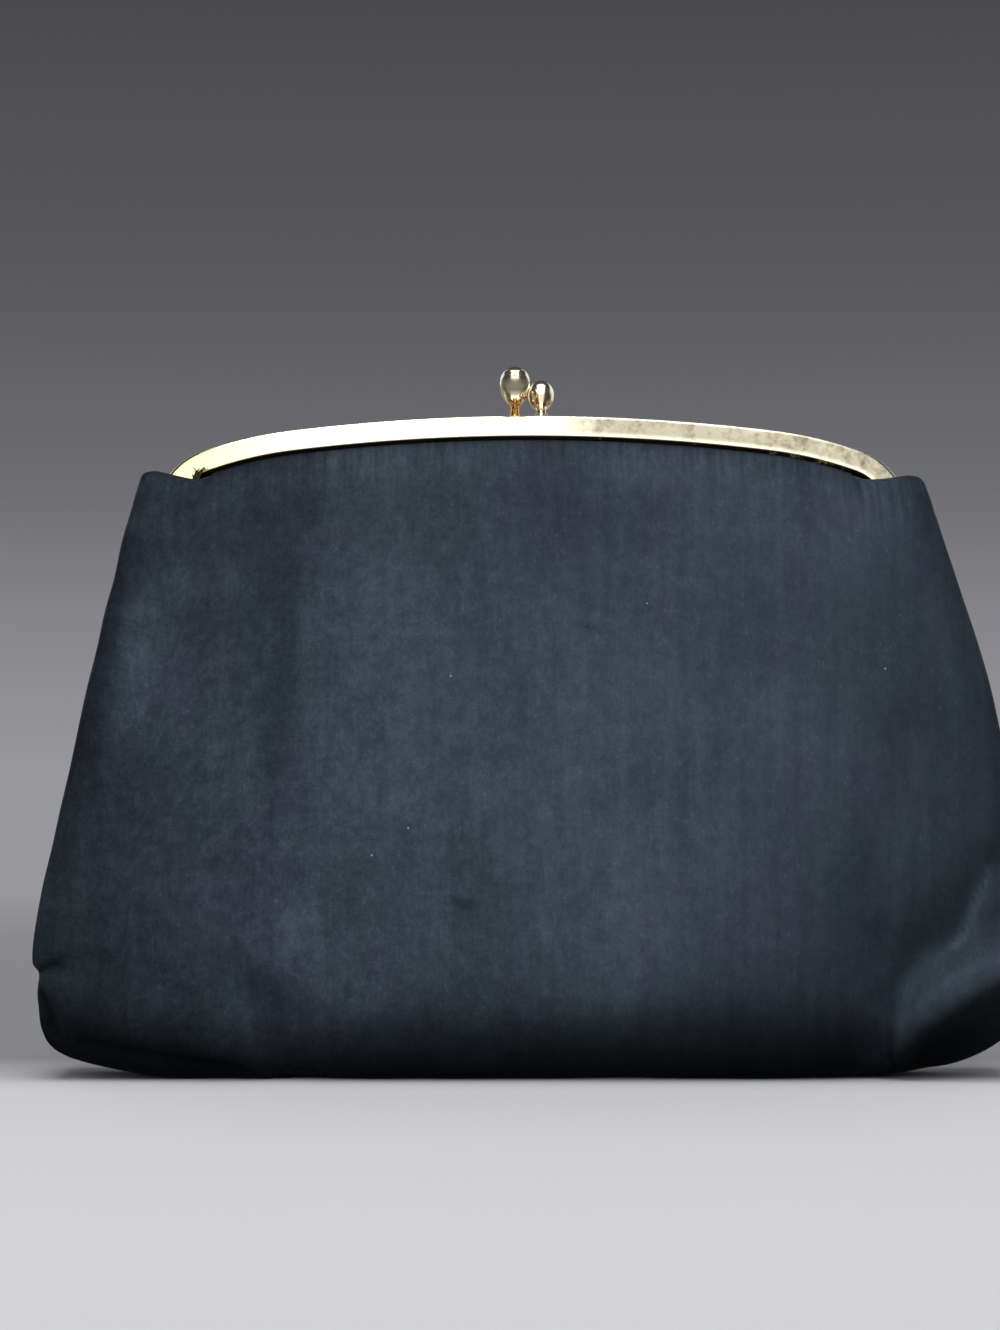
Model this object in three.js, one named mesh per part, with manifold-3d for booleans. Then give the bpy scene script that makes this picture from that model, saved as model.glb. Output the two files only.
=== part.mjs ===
// Kiss lock clutch: a soft cloth pouch hung in an arched two-part metal frame.
// Millimetres, +Z up, front of the bag towards -Y, origin under the middle of the base.
import * as THREE from "three";
import { mergeVertices } from "three/addons/utils/BufferGeometryUtils.js";
import Module from "manifold-3d";

const wasm = await Module();
wasm.setup();

// Frame sizes
const FRAME_TOP_Z = 151.7;
const LEG_LENGTH = 1.0;
const CHANNEL_DEPTH = 5.2;
const CHANNEL_HEIGHT = 5.6;
const CHANNEL_WALL = 0.65;
const HALF_GAP = 0.2;
const LUG_WALL = 0.8;
const LUG_RADIUS = 2.5;
const LUG_DROP = 2.6;
const RIVET_RADIUS = 0.9;
const RIVET_HEAD_RADIUS = 1.7;
const RIVET_HEAD_LENGTH = 0.7;
const FIT_GAP = 0.3;

// Cloth sizes
const CLOTH = 1.0;
const EDGE_RADIUS = 2.2;
const BELLY_Z = 28;
const BELLY_EDGE_DEPTH = 18.5;
const BELLY_CROWN = 5.2;
const BASE_DEPTH = 9;
const BASE_END_DEPTH = 15.2;
const TUCK = 3.4;
const TUCK_SHARE = 0.1;
const SWELL = 1.3;
const FACE_DEPTH = 6.2;
const FACE_FADE = 11;
const SHOULDER_HALF_WIDTH = 90.2;
const CHANNEL_END_X = 73.5;
const CLOTH_TOP_IN_CHANNEL = 2.4;
const CLOTH_DEPTH_IN_CHANNEL = CHANNEL_DEPTH - CHANNEL_WALL - FIT_GAP;
const CLOTH_DEPTH_ON_FRAME = CHANNEL_DEPTH + FIT_GAP + CLOTH + 0.05;
const SEAM_GAP = 0.3;
const GUSSET_GAP = 0.5;

// Arcs of the frame's top edge, from the middle out to the upright leg
const ARCH = [
  { radius: 456, to: 7.0, steps: 7 },
  { radius: 95.4, to: 19.7, steps: 4 },
  { radius: 15.8, to: 90, steps: 8 },
];

// Half width of the pouch on each side, by height
const SIDE_OUTLINE = [
  { z: 8, left: 108.6, right: 110.6 },
  { z: 25, left: 112.6, right: 114.4 },
  { z: 43, left: 111.1, right: 113.2 },
  { z: 62, left: 107.2, right: 110.2 },
  { z: 80, left: 103.2, right: 106.5 },
  { z: 99, left: 99.2, right: 101.7 },
  { z: 117, left: 95.7, right: 96.7 },
  { z: 130, left: 92.2, right: 92.6 },
  { z: 137, left: 90.2, right: 90.2 },
];

// Turned-up end of the base on each side: where it starts, as a share of the width, and its height
const BASE_ENDS = [
  { end: -1, start: 0.6, height: 9 },
  { end: 1, start: 0.68, height: 21 },
];

// Top edge of the cloth outside the channel, by distance from the middle
const SHOULDER_LINE = [
  { x: 73.5, z: 136.6 },
  { x: 76.2, z: 135.9 },
  { x: 78.0, z: 136.3 },
  { x: 80.5, z: 136.9 },
  { x: 83.5, z: 137.6 },
  { x: 86.5, z: 138.3 },
  { x: 88.0, z: 138.1 },
];

// Inward fold of each gusset at its middle, by height
const GUSSET_FOLD = [
  { z: 8, depth: 0 },
  { z: 18, depth: 0.6 },
  { z: 30, depth: 2.6 },
  { z: 60, depth: 6.2 },
  { z: 100, depth: 5.6 },
  { z: 138, depth: 2.8 },
];

// Folds and dents: a line from one point to another, its half width and its height
const FRONT_FOLDS = [
  { x0: -66, z0: 44, x1: -57, z1: 8, width: 6, height: -1.7 },
  { x0: -76, z0: 32, x1: -70, z1: 6, width: 7, height: 1.0 },
  { x0: -112, z0: 24.5, x1: -98, z1: 27, width: 3.2, height: -1.4 },
  { x0: -106, z0: 17, x1: -84, z1: 15, width: 6, height: 1.0 },
  { x0: 76, z0: 10, x1: 106, z1: 46, width: 6, height: -2.6 },
  { x0: 86, z0: 8, x1: 112, z1: 31, width: 6, height: 1.6 },
  { x0: -75, z0: 85, x1: -70, z1: 60, width: 22, height: -1.0 },
  { x0: 20, z0: 75, x1: 30, z1: 60, width: 26, height: 0.8 },
];
const BACK_FOLDS = [
  { x0: 62, z0: 44, x1: 56, z1: 8, width: 7, height: -1.4 },
  { x0: -76, z0: 10, x1: -104, z1: 44, width: 7, height: -2.0 },
  { x0: 0, z0: 80, x1: 10, z1: 50, width: 30, height: 0.8 },
];

// Kiss lock knobs: place of the foot, lean over the joint line, length and size of the ball
const KNOBS = [
  { name: "clasp_knob_front", x: 2.2, y: -2.6, lean: 46, reach: 6.3, ball: 3.2 },
  { name: "clasp_knob_back", x: -3.85, y: 2.6, lean: 34, reach: 8.1, ball: 3.5 },
];
const KNOB_SIDES = 14;
const KNOB_SHANK_RADIUS = 0.9;
const KNOB_POST_RADIUS = 1.15;
const KNOB_COLLAR_RADIUS = 1.5;
const KNOB_COLLAR_HEIGHT = 0.3;
const KNOB_TAIL_RADIUS = 1.4;

const radians = (degrees) => (degrees * Math.PI) / 180;
const mix = (a, b, t) => a + (b - a) * t;
const clamp01 = (t) => Math.min(1, Math.max(0, t));
const smooth = (t) => clamp01(t) ** 2 * (3 - 2 * clamp01(t));

// Value of one column of a table at a place along another, with a rounded curve between rows
function along(table, key, at, column) {
  const last = table.length - 1;
  if (at <= table[0][key]) return table[0][column];
  if (at >= table[last][key]) return table[last][column];
  const i = table.findIndex((row) => row[key] > at) - 1;
  const slope = (k) => {
    const a = table[Math.max(0, k - 1)];
    const b = table[Math.min(last, k + 1)];
    return (b[column] - a[column]) / (b[key] - a[key]);
  };
  const [a, b] = [table[i], table[i + 1]];
  const span = b[key] - a[key];
  const t = (at - a[key]) / span;
  const h = t * t * (3 - 2 * t);
  const bend = t * (1 - t) * span;
  return mix(a[column], b[column], h) + bend * ((1 - t) * slope(i) - t * slope(i + 1));
}

// Closed solid between an outer and an inner grid of points, both rows by columns
function slab(outer, inner, flip) {
  const rows = outer.length;
  const cols = outer[0].length;
  const points = [...outer.flat(), ...inner.flat()];
  const inside = rows * cols;
  const index = [];
  const quad = (a, b, c, d) => {
    if (flip) index.push(a, c, b, a, d, c);
    else index.push(a, b, c, a, c, d);
  };
  for (let r = 0; r < rows - 1; r += 1) {
    for (let c = 0; c < cols - 1; c += 1) {
      const a = r * cols + c;
      quad(a, a + cols, a + cols + 1, a + 1);
      quad(inside + a, inside + a + 1, inside + a + cols + 1, inside + a + cols);
    }
  }
  const rim = [];
  for (let c = 0; c < cols - 1; c += 1) rim.push(c);
  for (let r = 0; r < rows - 1; r += 1) rim.push(r * cols + cols - 1);
  for (let c = cols - 1; c > 0; c -= 1) rim.push((rows - 1) * cols + c);
  for (let r = rows - 1; r > 0; r -= 1) rim.push(r * cols);
  rim.forEach((a, i) => {
    const b = rim[(i + 1) % rim.length];
    quad(a, b, inside + b, inside + a);
  });
  return meshGeometry(points, index);
}

function meshGeometry(points, index) {
  const geometry = new THREE.BufferGeometry();
  const flat = points.flatMap((p) => [p.x, p.y, p.z]);
  geometry.setAttribute("position", new THREE.Float32BufferAttribute(flat, 3));
  geometry.setIndex(index);
  return geometry;
}

// Second layer of a cloth grid, one cloth thickness inside the first, square to the seams
function innerLayer(grid, side, seamRow) {
  const rows = grid.length;
  const cols = grid[0].length;
  return grid.map((row, r) => row.map((p, c) => {
    const down = grid[Math.min(r + 1, rows - 1)][c].clone().sub(grid[Math.max(r - 1, 0)][c]);
    const over = row[Math.min(c + 1, cols - 1)].clone().sub(row[Math.max(c - 1, 0)]);
    const normal = down.cross(over);
    const atSide = c === 0 || c === cols - 1;
    if (atSide) normal.y = 0;
    if (r >= seamRow && (atSide || seamRow === rows - 1)) normal.z = 0;
    return p.clone().addScaledVector(normal.normalize(), -side * CLOTH);
  }));
}

// Centre of each arc: neighbouring arcs share their line of sight at the break
const arcs = ARCH.map((row) => ({ ...row, x: 0, z: FRAME_TOP_Z - row.radius }));
for (let i = 1; i < arcs.length; i += 1) {
  const step = arcs[i - 1].radius - arcs[i].radius;
  arcs[i].from = arcs[i - 1].to;
  arcs[i].x = arcs[i - 1].x + step * Math.sin(radians(arcs[i].from));
  arcs[i].z = arcs[i - 1].z + step * Math.cos(radians(arcs[i].from));
}
const leg = arcs[arcs.length - 1];

// Height of the line lying a given drop inside the top edge of the frame
function archZ(x, drop) {
  const arc = arcs.find((a) => x <= a.x + (a.radius - drop) * Math.sin(radians(a.to))) ?? leg;
  return arc.z + Math.sqrt((arc.radius - drop) ** 2 - (x - arc.x) ** 2);
}

// Stations along the arch from the left leg to the right leg
function archStations() {
  const stations = [];
  for (const arc of arcs) {
    for (let i = 1; i <= arc.steps; i += 1) {
      const a = radians(mix(arc.from ?? 0, arc.to, i / arc.steps));
      const [nx, nz] = [Math.sin(a), Math.cos(a)];
      stations.push({ x: arc.x + arc.radius * nx, z: arc.z + arc.radius * nz, nx, nz });
    }
  }
  const end = stations[stations.length - 1];
  stations.push({ ...end, z: end.z - LEG_LENGTH });
  const middle = { x: 0, z: FRAME_TOP_Z, nx: 0, nz: 1 };
  const mirrored = stations.map((s) => ({ ...s, x: -s.x, nx: -s.nx })).reverse();
  return [...mirrored, middle, ...stations];
}

// Section of the frame channel: depth from the joint line and drop from the top edge
function channelSection() {
  const front = CHANNEL_DEPTH;
  const inFront = CHANNEL_DEPTH - CHANNEL_WALL;
  return [
    { depth: HALF_GAP, drop: 0 },
    { depth: front - 0.7, drop: 0 },
    { depth: front, drop: 0.7 },
    { depth: front, drop: CHANNEL_HEIGHT - 1.0 },
    { depth: inFront + 0.1, drop: CHANNEL_HEIGHT },
    { depth: inFront, drop: CHANNEL_HEIGHT },
    { depth: inFront, drop: 0.8 },
    { depth: HALF_GAP + CHANNEL_WALL, drop: 0.8 },
    { depth: HALF_GAP + CHANNEL_WALL, drop: CHANNEL_HEIGHT - 1.4 },
    { depth: HALF_GAP, drop: CHANNEL_HEIGHT - 1.4 },
  ];
}

function channel(side) {
  const section = channelSection();
  const stations = archStations();
  const count = section.length;
  const points = stations.flatMap((s) => section.map((q) => (
    new THREE.Vector3(s.x - s.nx * q.drop, side * q.depth, s.z - s.nz * q.drop)
  )));
  const index = [];
  const face = (a, b, c) => (side < 0 ? index.push(a, b, c) : index.push(a, c, b));
  for (let i = 0; i < stations.length - 1; i += 1) {
    for (let k = 0; k < count; k += 1) {
      const a = i * count + k;
      const b = i * count + ((k + 1) % count);
      face(a, b, b + count);
      face(a, b + count, a + count);
    }
  }
  const outline = section.map((q) => new THREE.Vector2(q.depth, q.drop));
  const caps = THREE.ShapeUtils.triangulateShape(outline, []);
  const last = (stations.length - 1) * count;
  caps.forEach(([a, b, c]) => {
    face(a, c, b);
    face(last + a, last + b, last + c);
  });
  return meshGeometry(points, index);
}

function toSolid(geometry) {
  const bare = geometry.clone();
  bare.deleteAttribute("normal");
  bare.deleteAttribute("uv");
  const merged = mergeVertices(bare, 1e-4);
  const triVerts = new Uint32Array(merged.index.array);
  const vertProperties = new Float32Array(merged.attributes.position.array);
  return new wasm.Manifold(new wasm.Mesh({ numProp: 3, vertProperties, triVerts }));
}

function fromSolid(solid) {
  const mesh = solid.getMesh();
  const geometry = new THREE.BufferGeometry();
  geometry.setAttribute("position", new THREE.Float32BufferAttribute(mesh.vertProperties, 3));
  geometry.setIndex(new THREE.BufferAttribute(mesh.triVerts, 1));
  return geometry;
}

// Rod or bored hole along X or up Z, set by its two ends
function rodAlongX(radius, x0, x1, z) {
  const rod = new THREE.CylinderGeometry(radius, radius, Math.abs(x1 - x0), 20);
  rod.rotateZ(Math.PI / 2);
  rod.translate((x0 + x1) / 2, 0, z);
  return rod;
}

function rodUp(radius, x, y, z0, z1) {
  const rod = new THREE.CylinderGeometry(radius, radius, z1 - z0, KNOB_SIDES);
  rod.rotateX(Math.PI / 2);
  rod.translate(x, y, (z0 + z1) / 2);
  return rod;
}

// Hinge at the end of each leg: an eye on each half, side by side, on one rivet
const legEndX = leg.x + leg.radius;
const legEndZ = leg.z - LEG_LENGTH;
const hingeZ = legEndZ - LUG_DROP - 0.3;
const eyeX = { front: legEndX - 2 * LUG_WALL - FIT_GAP - 0.1, back: legEndX - LUG_WALL - 0.1 };

function eye(half, end) {
  const side = half === "front" ? -1 : 1;
  const shape = new THREE.Shape();
  shape.absarc(0, 0, LUG_RADIUS, 0, Math.PI, true);
  shape.lineTo(-LUG_RADIUS, LUG_DROP);
  shape.lineTo(-LUG_RADIUS, LUG_DROP + 3.2);
  shape.lineTo(-HALF_GAP, LUG_DROP + 3.2);
  shape.lineTo(-HALF_GAP, LUG_DROP);
  shape.lineTo(LUG_RADIUS, LUG_DROP - 0.3);
  shape.closePath();
  const bore = new THREE.Path();
  bore.absarc(0, 0, RIVET_RADIUS + FIT_GAP, 0, 2 * Math.PI, false);
  shape.holes.push(bore);
  const plate = new THREE.ExtrudeGeometry(shape, {
    depth: LUG_WALL,
    bevelEnabled: false,
    curveSegments: 6,
  });
  const place = new THREE.Matrix4().makeBasis(
    new THREE.Vector3(0, 1, 0),
    new THREE.Vector3(0, 0, 1),
    new THREE.Vector3(1, 0, 0),
  );
  plate.applyMatrix4(place);
  if (side > 0) plate.applyMatrix4(new THREE.Matrix4().makeRotationZ(Math.PI));
  const centre = end * (eyeX[half] + LUG_WALL / 2);
  plate.translate(centre - (side * -LUG_WALL) / 2, 0, hingeZ);
  return plate;
}

function frameHalf(half) {
  const side = half === "front" ? -1 : 1;
  let solid = toSolid(channel(side));
  for (const end of [-1, 1]) {
    solid = solid.add(toSolid(eye(half, end)));
  }
  const knob = KNOBS.find((row) => row.name === `clasp_knob_${half}`);
  const hole = rodUp(
    KNOB_SHANK_RADIUS + FIT_GAP,
    knob.x,
    knob.y,
    FRAME_TOP_Z - 3,
    FRAME_TOP_Z + 2,
  );
  return fromSolid(solid.subtract(toSolid(hole)));
}

function hingeRivet(end) {
  const inner = eyeX.front - FIT_GAP;
  const outer = eyeX.back + LUG_WALL + FIT_GAP;
  const head = RIVET_HEAD_LENGTH;
  const shaft = rodAlongX(RIVET_RADIUS, end * (inner - head / 2), end * (outer + head / 2), hingeZ);
  const near = rodAlongX(RIVET_HEAD_RADIUS, end * (inner - head), end * inner, hingeZ);
  const far = rodAlongX(RIVET_HEAD_RADIUS, end * outer, end * (outer + head), hingeZ);
  return fromSolid(toSolid(shaft).add(toSolid(near)).add(toSolid(far)));
}

// Knob: an upright riveted foot and a leaning pear-shaped head
function knobHead(row) {
  const ball = row.ball;
  const centre = row.reach;
  const profile = [
    { r: 0, h: 0 },
    { r: KNOB_POST_RADIUS, h: 0 },
    { r: KNOB_POST_RADIUS, h: centre - 1.85 * ball },
    { r: ball * 0.45, h: centre - 1.6 * ball },
    { r: ball * 0.68, h: centre - 1.2 * ball },
    { r: ball * 0.87, h: centre - 0.78 * ball },
    { r: ball * 0.98, h: centre - 0.3 * ball },
    { r: ball, h: centre + 0.06 * ball },
    { r: ball * 0.93, h: centre + 0.42 * ball },
    { r: ball * 0.74, h: centre + 0.74 * ball },
    { r: ball * 0.4, h: centre + 0.98 * ball },
    { r: 0, h: centre + 1.05 * ball },
  ];
  const head = new THREE.LatheGeometry(
    profile.map((q) => new THREE.Vector2(q.r, q.h)),
    KNOB_SIDES,
  );
  head.rotateX(Math.PI / 2);
  head.rotateX(radians(Math.sign(row.y) * row.lean));
  head.translate(row.x, row.y, FRAME_TOP_Z + FIT_GAP + KNOB_COLLAR_HEIGHT + KNOB_POST_RADIUS / 2);
  return head;
}

function knob(row) {
  const top = FRAME_TOP_Z + FIT_GAP;
  const under = FRAME_TOP_Z - 0.8 - FIT_GAP;
  const neck = top + KNOB_COLLAR_HEIGHT + KNOB_POST_RADIUS;
  const collar = rodUp(KNOB_COLLAR_RADIUS, row.x, row.y, top, top + KNOB_COLLAR_HEIGHT);
  const shank = rodUp(KNOB_SHANK_RADIUS, row.x, row.y, under - 0.4, neck);
  const tail = rodUp(KNOB_TAIL_RADIUS, row.x, row.y, under - 0.8, under);
  const foot = toSolid(collar).add(toSolid(shank)).add(toSolid(tail));
  return fromSolid(foot.add(toSolid(knobHead(row))));
}

// Cloth pouch
function halfWidth(z, end) {
  return along(SIDE_OUTLINE, "z", z, end < 0 ? "left" : "right");
}

function foldHeight(folds, x, z) {
  return folds.reduce((sum, f) => {
    const [dx, dz] = [f.x1 - f.x0, f.z1 - f.z0];
    const t = clamp01(((x - f.x0) * dx + (z - f.z0) * dz) / (dx * dx + dz * dz));
    const away = Math.hypot(x - f.x0 - t * dx, z - f.z0 - t * dz) / f.width;
    return sum + f.height * Math.exp(-away * away);
  }, 0);
}

// Columns across a panel: straight across the face, then round each side edge
function panelColumns(step) {
  const right = [];
  for (let u = step; u < 0.8; u += step) right.push({ end: 1, u, turn: 0 });
  for (const u of [0.815, 0.84, 0.866, 0.885, 0.92, 0.96, 1]) right.push({ end: 1, u, turn: 0 });
  for (const turn of [32, 62, 90]) right.push({ end: 1, u: 1, turn });
  const left = right.map((column) => ({ ...column, end: -1 })).reverse();
  return [...left, { end: 1, u: 0, turn: 0 }, ...right];
}

function panelPoint(column, row, folds) {
  const { end, u, turn } = column;
  const sinTurn = Math.sin(radians(turn));
  const cosTurn = Math.cos(radians(turn));
  const reachX = (z) => u * (halfWidth(z, end) - EDGE_RADIUS) + EDGE_RADIUS * sinTurn;
  const back = EDGE_RADIUS * (1 - cosTurn);

  const topX = u * (SHOULDER_HALF_WIDTH - EDGE_RADIUS) + EDGE_RADIUS * sinTurn;
  const onFrame = smooth((topX - CHANNEL_END_X) / 3.2);
  const inChannel = topX < CHANNEL_END_X;
  const shoulderZ = along(SHOULDER_LINE, "x", topX, "z") - 2.6 * (1 - cosTurn);
  const topZ = inChannel ? archZ(topX, CLOTH_TOP_IN_CHANNEL) : shoulderZ;
  const press = mix(CLOTH_DEPTH_IN_CHANNEL, CLOTH_DEPTH_ON_FRAME, onFrame) - FACE_DEPTH;
  const bellyDepth = BELLY_EDGE_DEPTH + BELLY_CROWN * (1 - u ** 2.4);

  const { start, height } = BASE_ENDS.find((side) => side.end === end);
  const corner = clamp01(((u - start) / (1 - start)) * 0.7 + (turn / 90) * 0.3);
  const bend = (corner * Math.PI) / 2;
  const baseZ = height * (1 - Math.cos(bend));
  const baseDepth = mix(BASE_DEPTH, BASE_END_DEPTH + back, corner);
  const startX = start * (halfWidth(BELLY_Z, end) - EDGE_RADIUS);
  const turnedX = mix(startX, halfWidth(height, end), Math.sin(bend));
  const baseX = u < start ? (u / start) * startX : turnedX;

  let x;
  let depth;
  let z;
  if (row.part === "wall") {
    const tuck = inChannel ? TUCK : 0.8;
    const span = topZ - tuck - BELLY_Z;
    z = topZ - tuck * Math.min(1, row.t / TUCK_SHARE);
    z -= span * Math.max(0, (row.t - TUCK_SHARE) / (1 - TUCK_SHARE));
    const lift = clamp01((z - BELLY_Z) / span);
    const below = Math.max(0, topZ - tuck - z);
    depth = mix(bellyDepth, FACE_DEPTH, lift ** SWELL) + press * (1 - smooth(below / FACE_FADE));
    x = reachX(z);
  } else {
    const round = row.part === "turn" ? (row.t * Math.PI) / 2 : Math.PI / 2;
    z = mix(baseZ, BELLY_Z, 1 - Math.sin(round));
    depth = mix(baseDepth, bellyDepth, Math.cos(round));
    x = mix(baseX, reachX(BELLY_Z), Math.cos(round));
    if (row.part === "base") depth = mix(baseDepth, SEAM_GAP / 2 + back, row.t);
  }
  const calm = smooth((topZ - z) / 12) * (row.part === "base" ? 1 - row.t : 1);
  const fold = foldHeight(folds, end * x, z) * calm * smooth(z / 6);
  depth += fold - back;
  return new THREE.Vector3(end * x, -depth, z);
}

function panelRows() {
  const rows = [{ part: "wall", t: 0 }];
  for (let i = 0; i <= 12; i += 1) {
    rows.push({ part: "wall", t: mix(TUCK_SHARE, 1, (i / 12) ** 1.25) });
  }
  for (let i = 1; i <= 7; i += 1) rows.push({ part: "turn", t: i / 7 });
  for (const t of [0.5, 1]) rows.push({ part: "base", t });
  return rows;
}

function panelGrid(folds, step) {
  const columns = panelColumns(step);
  return panelRows().map((row) => columns.map((column) => panelPoint(column, row, folds)));
}

const frontGrid = panelGrid(FRONT_FOLDS, 0.0775);
const backGrid = panelGrid(BACK_FOLDS, 0.155).map((row) => (
  row.map((p) => new THREE.Vector3(p.x, -p.y, p.z))
));

// Gusset: a strip from the front edge to the back edge, folded inwards down its middle
const GUSSET_STEPS = 8;

function gussetGrid(end) {
  const rows = panelRows().filter((row) => row.part !== "base");
  return rows.map((row, r) => {
    const from = frontGrid[r].at(end < 0 ? 0 : -1);
    const to = backGrid[r].at(end < 0 ? 0 : -1);
    const sink = along(GUSSET_FOLD, "z", from.z, "depth");
    const lift = r === rows.length - 1 ? SEAM_GAP : 0;
    return Array.from({ length: GUSSET_STEPS + 1 }, (_, i) => {
      const t = i / GUSSET_STEPS;
      const y = mix(from.y + GUSSET_GAP, to.y - GUSSET_GAP, t);
      const fold = (sink * (1 - Math.cos(2 * Math.PI * t))) / 2;
      const x = mix(from.x, to.x, t) - end * fold;
      return new THREE.Vector3(x, y, mix(from.z, to.z, t) + lift);
    });
  });
}

function clothPiece(grid, side, seamRow) {
  return slab(grid, innerLayer(grid, side, seamRow), side < 0);
}

// Assembly
const clutch = new THREE.Group();
clutch.name = "kiss_lock_clutch";

function place(name, geometry, colour, metalness, roughness) {
  const material = new THREE.MeshStandardMaterial({ color: colour, metalness, roughness });
  const mesh = new THREE.Mesh(geometry, material);
  mesh.name = name;
  clutch.add(mesh);
}

const baseSeam = panelRows().findIndex((row) => row.part === "base") - 1;
place("front_panel", clothPiece(frontGrid, 1, baseSeam), 0x39424c, 0, 0.8);
place("back_panel", clothPiece(backGrid, -1, baseSeam), 0x39424c, 0, 0.8);
place("gusset_left", clothPiece(gussetGrid(-1), -1, baseSeam), 0x343c46, 0, 0.8);
place("gusset_right", clothPiece(gussetGrid(1), 1, baseSeam), 0x343c46, 0, 0.8);
place("frame_front", frameHalf("front"), 0xd9c68c, 1, 0.3);
place("frame_back", frameHalf("back"), 0xd9c68c, 1, 0.3);
for (const row of KNOBS) place(row.name, knob(row), 0xcdb173, 1, 0.25);
place("hinge_rivet_left", hingeRivet(-1), 0xc0a468, 1, 0.35);
place("hinge_rivet_right", hingeRivet(1), 0xc0a468, 1, 0.35);

export default clutch;
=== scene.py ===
# %% [markdown]
# # A kiss lock clutch
# This evening bag is a soft cloth pouch hung in an arched brass frame. Two knobs on the frame snap past
# each other to keep it shut. The imported model is the fixed frame: it gives the place and the size of
# every part, in metres, with +Z up and the front of the bag towards -Y. Each step below replaces one
# plain solid with a finished piece in the same place, so nothing has to be fitted by eye.

# %% Load the imported model and keep its parts
import math

import bpy
import numpy as np
from mathutils import Matrix, Vector


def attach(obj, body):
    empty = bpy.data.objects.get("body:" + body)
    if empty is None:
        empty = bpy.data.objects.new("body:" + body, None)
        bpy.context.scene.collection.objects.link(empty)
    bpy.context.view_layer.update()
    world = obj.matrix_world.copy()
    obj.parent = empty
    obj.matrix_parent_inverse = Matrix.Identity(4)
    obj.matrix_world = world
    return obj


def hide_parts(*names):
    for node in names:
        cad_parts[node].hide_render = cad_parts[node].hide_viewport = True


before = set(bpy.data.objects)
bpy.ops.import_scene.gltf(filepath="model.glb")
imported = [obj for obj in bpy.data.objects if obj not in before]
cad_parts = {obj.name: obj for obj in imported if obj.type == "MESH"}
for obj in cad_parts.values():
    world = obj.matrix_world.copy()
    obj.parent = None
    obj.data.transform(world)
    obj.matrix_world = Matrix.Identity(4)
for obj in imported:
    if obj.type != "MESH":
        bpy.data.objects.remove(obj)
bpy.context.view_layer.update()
scene = bpy.context.scene
MM = 0.001

# %% [markdown]
# ## Helpers
# Colours are written as sRGB hex, as a paint program shows them, but shaders work in linear light, so one
# function turns the one into the other. Another adds a node, sets it and links it in a single line, so that
# a tree reads from top to bottom like a recipe. It puts the family before the kind: in a shader tree, "Math"
# is the type ShaderNodeMath.


# %% Helpers
def linear(hex_colour):
    """Linear colour of an sRGB hex value."""
    channels = [int(hex_colour[i : i + 2], 16) / 255 for i in (1, 3, 5)]
    return (*[c / 12.92 if c <= 0.04045 else ((c + 0.055) / 1.055) ** 2.4 for c in channels], 1.0)


FAMILY = {"SHADER": "ShaderNode", "GEOMETRY": "GeometryNode"}


def add(tree, kind, inputs=(), **settings):
    """Adds a node. Inputs go by key or in order, and a node given as an input links by its first output."""
    node = tree.nodes.new(FAMILY[tree.type] + kind)
    for name, value in settings.items():
        setattr(node, name, value)
    for key, value in inputs.items() if isinstance(inputs, dict) else enumerate(inputs):
        if isinstance(value, bpy.types.Node):
            value = value.outputs[0]
        if isinstance(value, bpy.types.NodeSocket):
            tree.links.new(value, node.inputs[key])
        else:
            node.inputs[key].default_value = value
    return node


def ramp_stops(node, stops):
    """Places colour stops, given as {position: hex}, on a colour ramp."""
    elements = node.color_ramp.elements
    while len(elements) < len(stops):
        elements.new(0.5)
    for element, (position, colour) in zip(elements, sorted(stops.items())):
        element.position = position
        element.color = linear(colour)


def blank_material(name):
    material = bpy.data.materials.new(name)
    material.use_nodes = True
    material.node_tree.nodes.clear()
    return material, material.node_tree


def placed(name, data):
    thing = bpy.data.objects.new(name, data)
    scene.collection.objects.link(thing)
    return thing


print("mid grey in linear light:", [round(c, 3) for c in linear("#808080")])

# %% [markdown]
# ## Camera
# A long lens from under a metre away, a little below the middle of the bag, is what a small studio table
# gives. The place, the aim and the focal length are plain numbers, worked out from the horizon, the
# width of the frame and the line where the base meets the table. Standard colour keeps a white softbox
# white, so the colours of the materials below can be read straight off.

# %% Camera
IMAGE_WIDTH = 1000
FOCAL_PIXELS = 3680
SENSOR_WIDTH = 36.0
CAMERA_PLACE = Vector((-7.3, -850, 70)) * MM
CAMERA_AIM = Vector((-7.3, 0, 94.4)) * MM

lens = bpy.data.cameras.new("studio_camera")
lens.sensor_fit = "HORIZONTAL"
lens.sensor_width = SENSOR_WIDTH
lens.lens = SENSOR_WIDTH * FOCAL_PIXELS / IMAGE_WIDTH
camera = placed("studio_camera", lens)
camera.location = CAMERA_PLACE
camera.rotation_euler = (CAMERA_AIM - CAMERA_PLACE).to_track_quat("-Z", "Y").to_euler()
scene.camera = camera
scene.view_settings.view_transform = "Standard"
print(f"lens {lens.lens:.1f} mm at {[round(v, 3) for v in camera.location]}")

# %% [markdown]
# ## Stage: backdrop, table and lights
# The bag stands on a pale table in front of a dim grey sweep that darkens upwards. A wall would get in the
# way when the bag is seen from behind, so the sweep is the world itself, coloured by the height of the
# direction. The table's colour pales towards the front and goes grey behind the bag, as painted falloff and
# shadow of the light, and far from the bag the table glows in the grey of the sweep, as painted light.

# %% Backdrop
SWEEP_TOP = 0.21
SWEEP_TONES = {0.0: "#98989c", 0.18: "#87878b", 0.36: "#6e6e72", 0.63: "#58585d", 1.0: "#48484d"}

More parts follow.
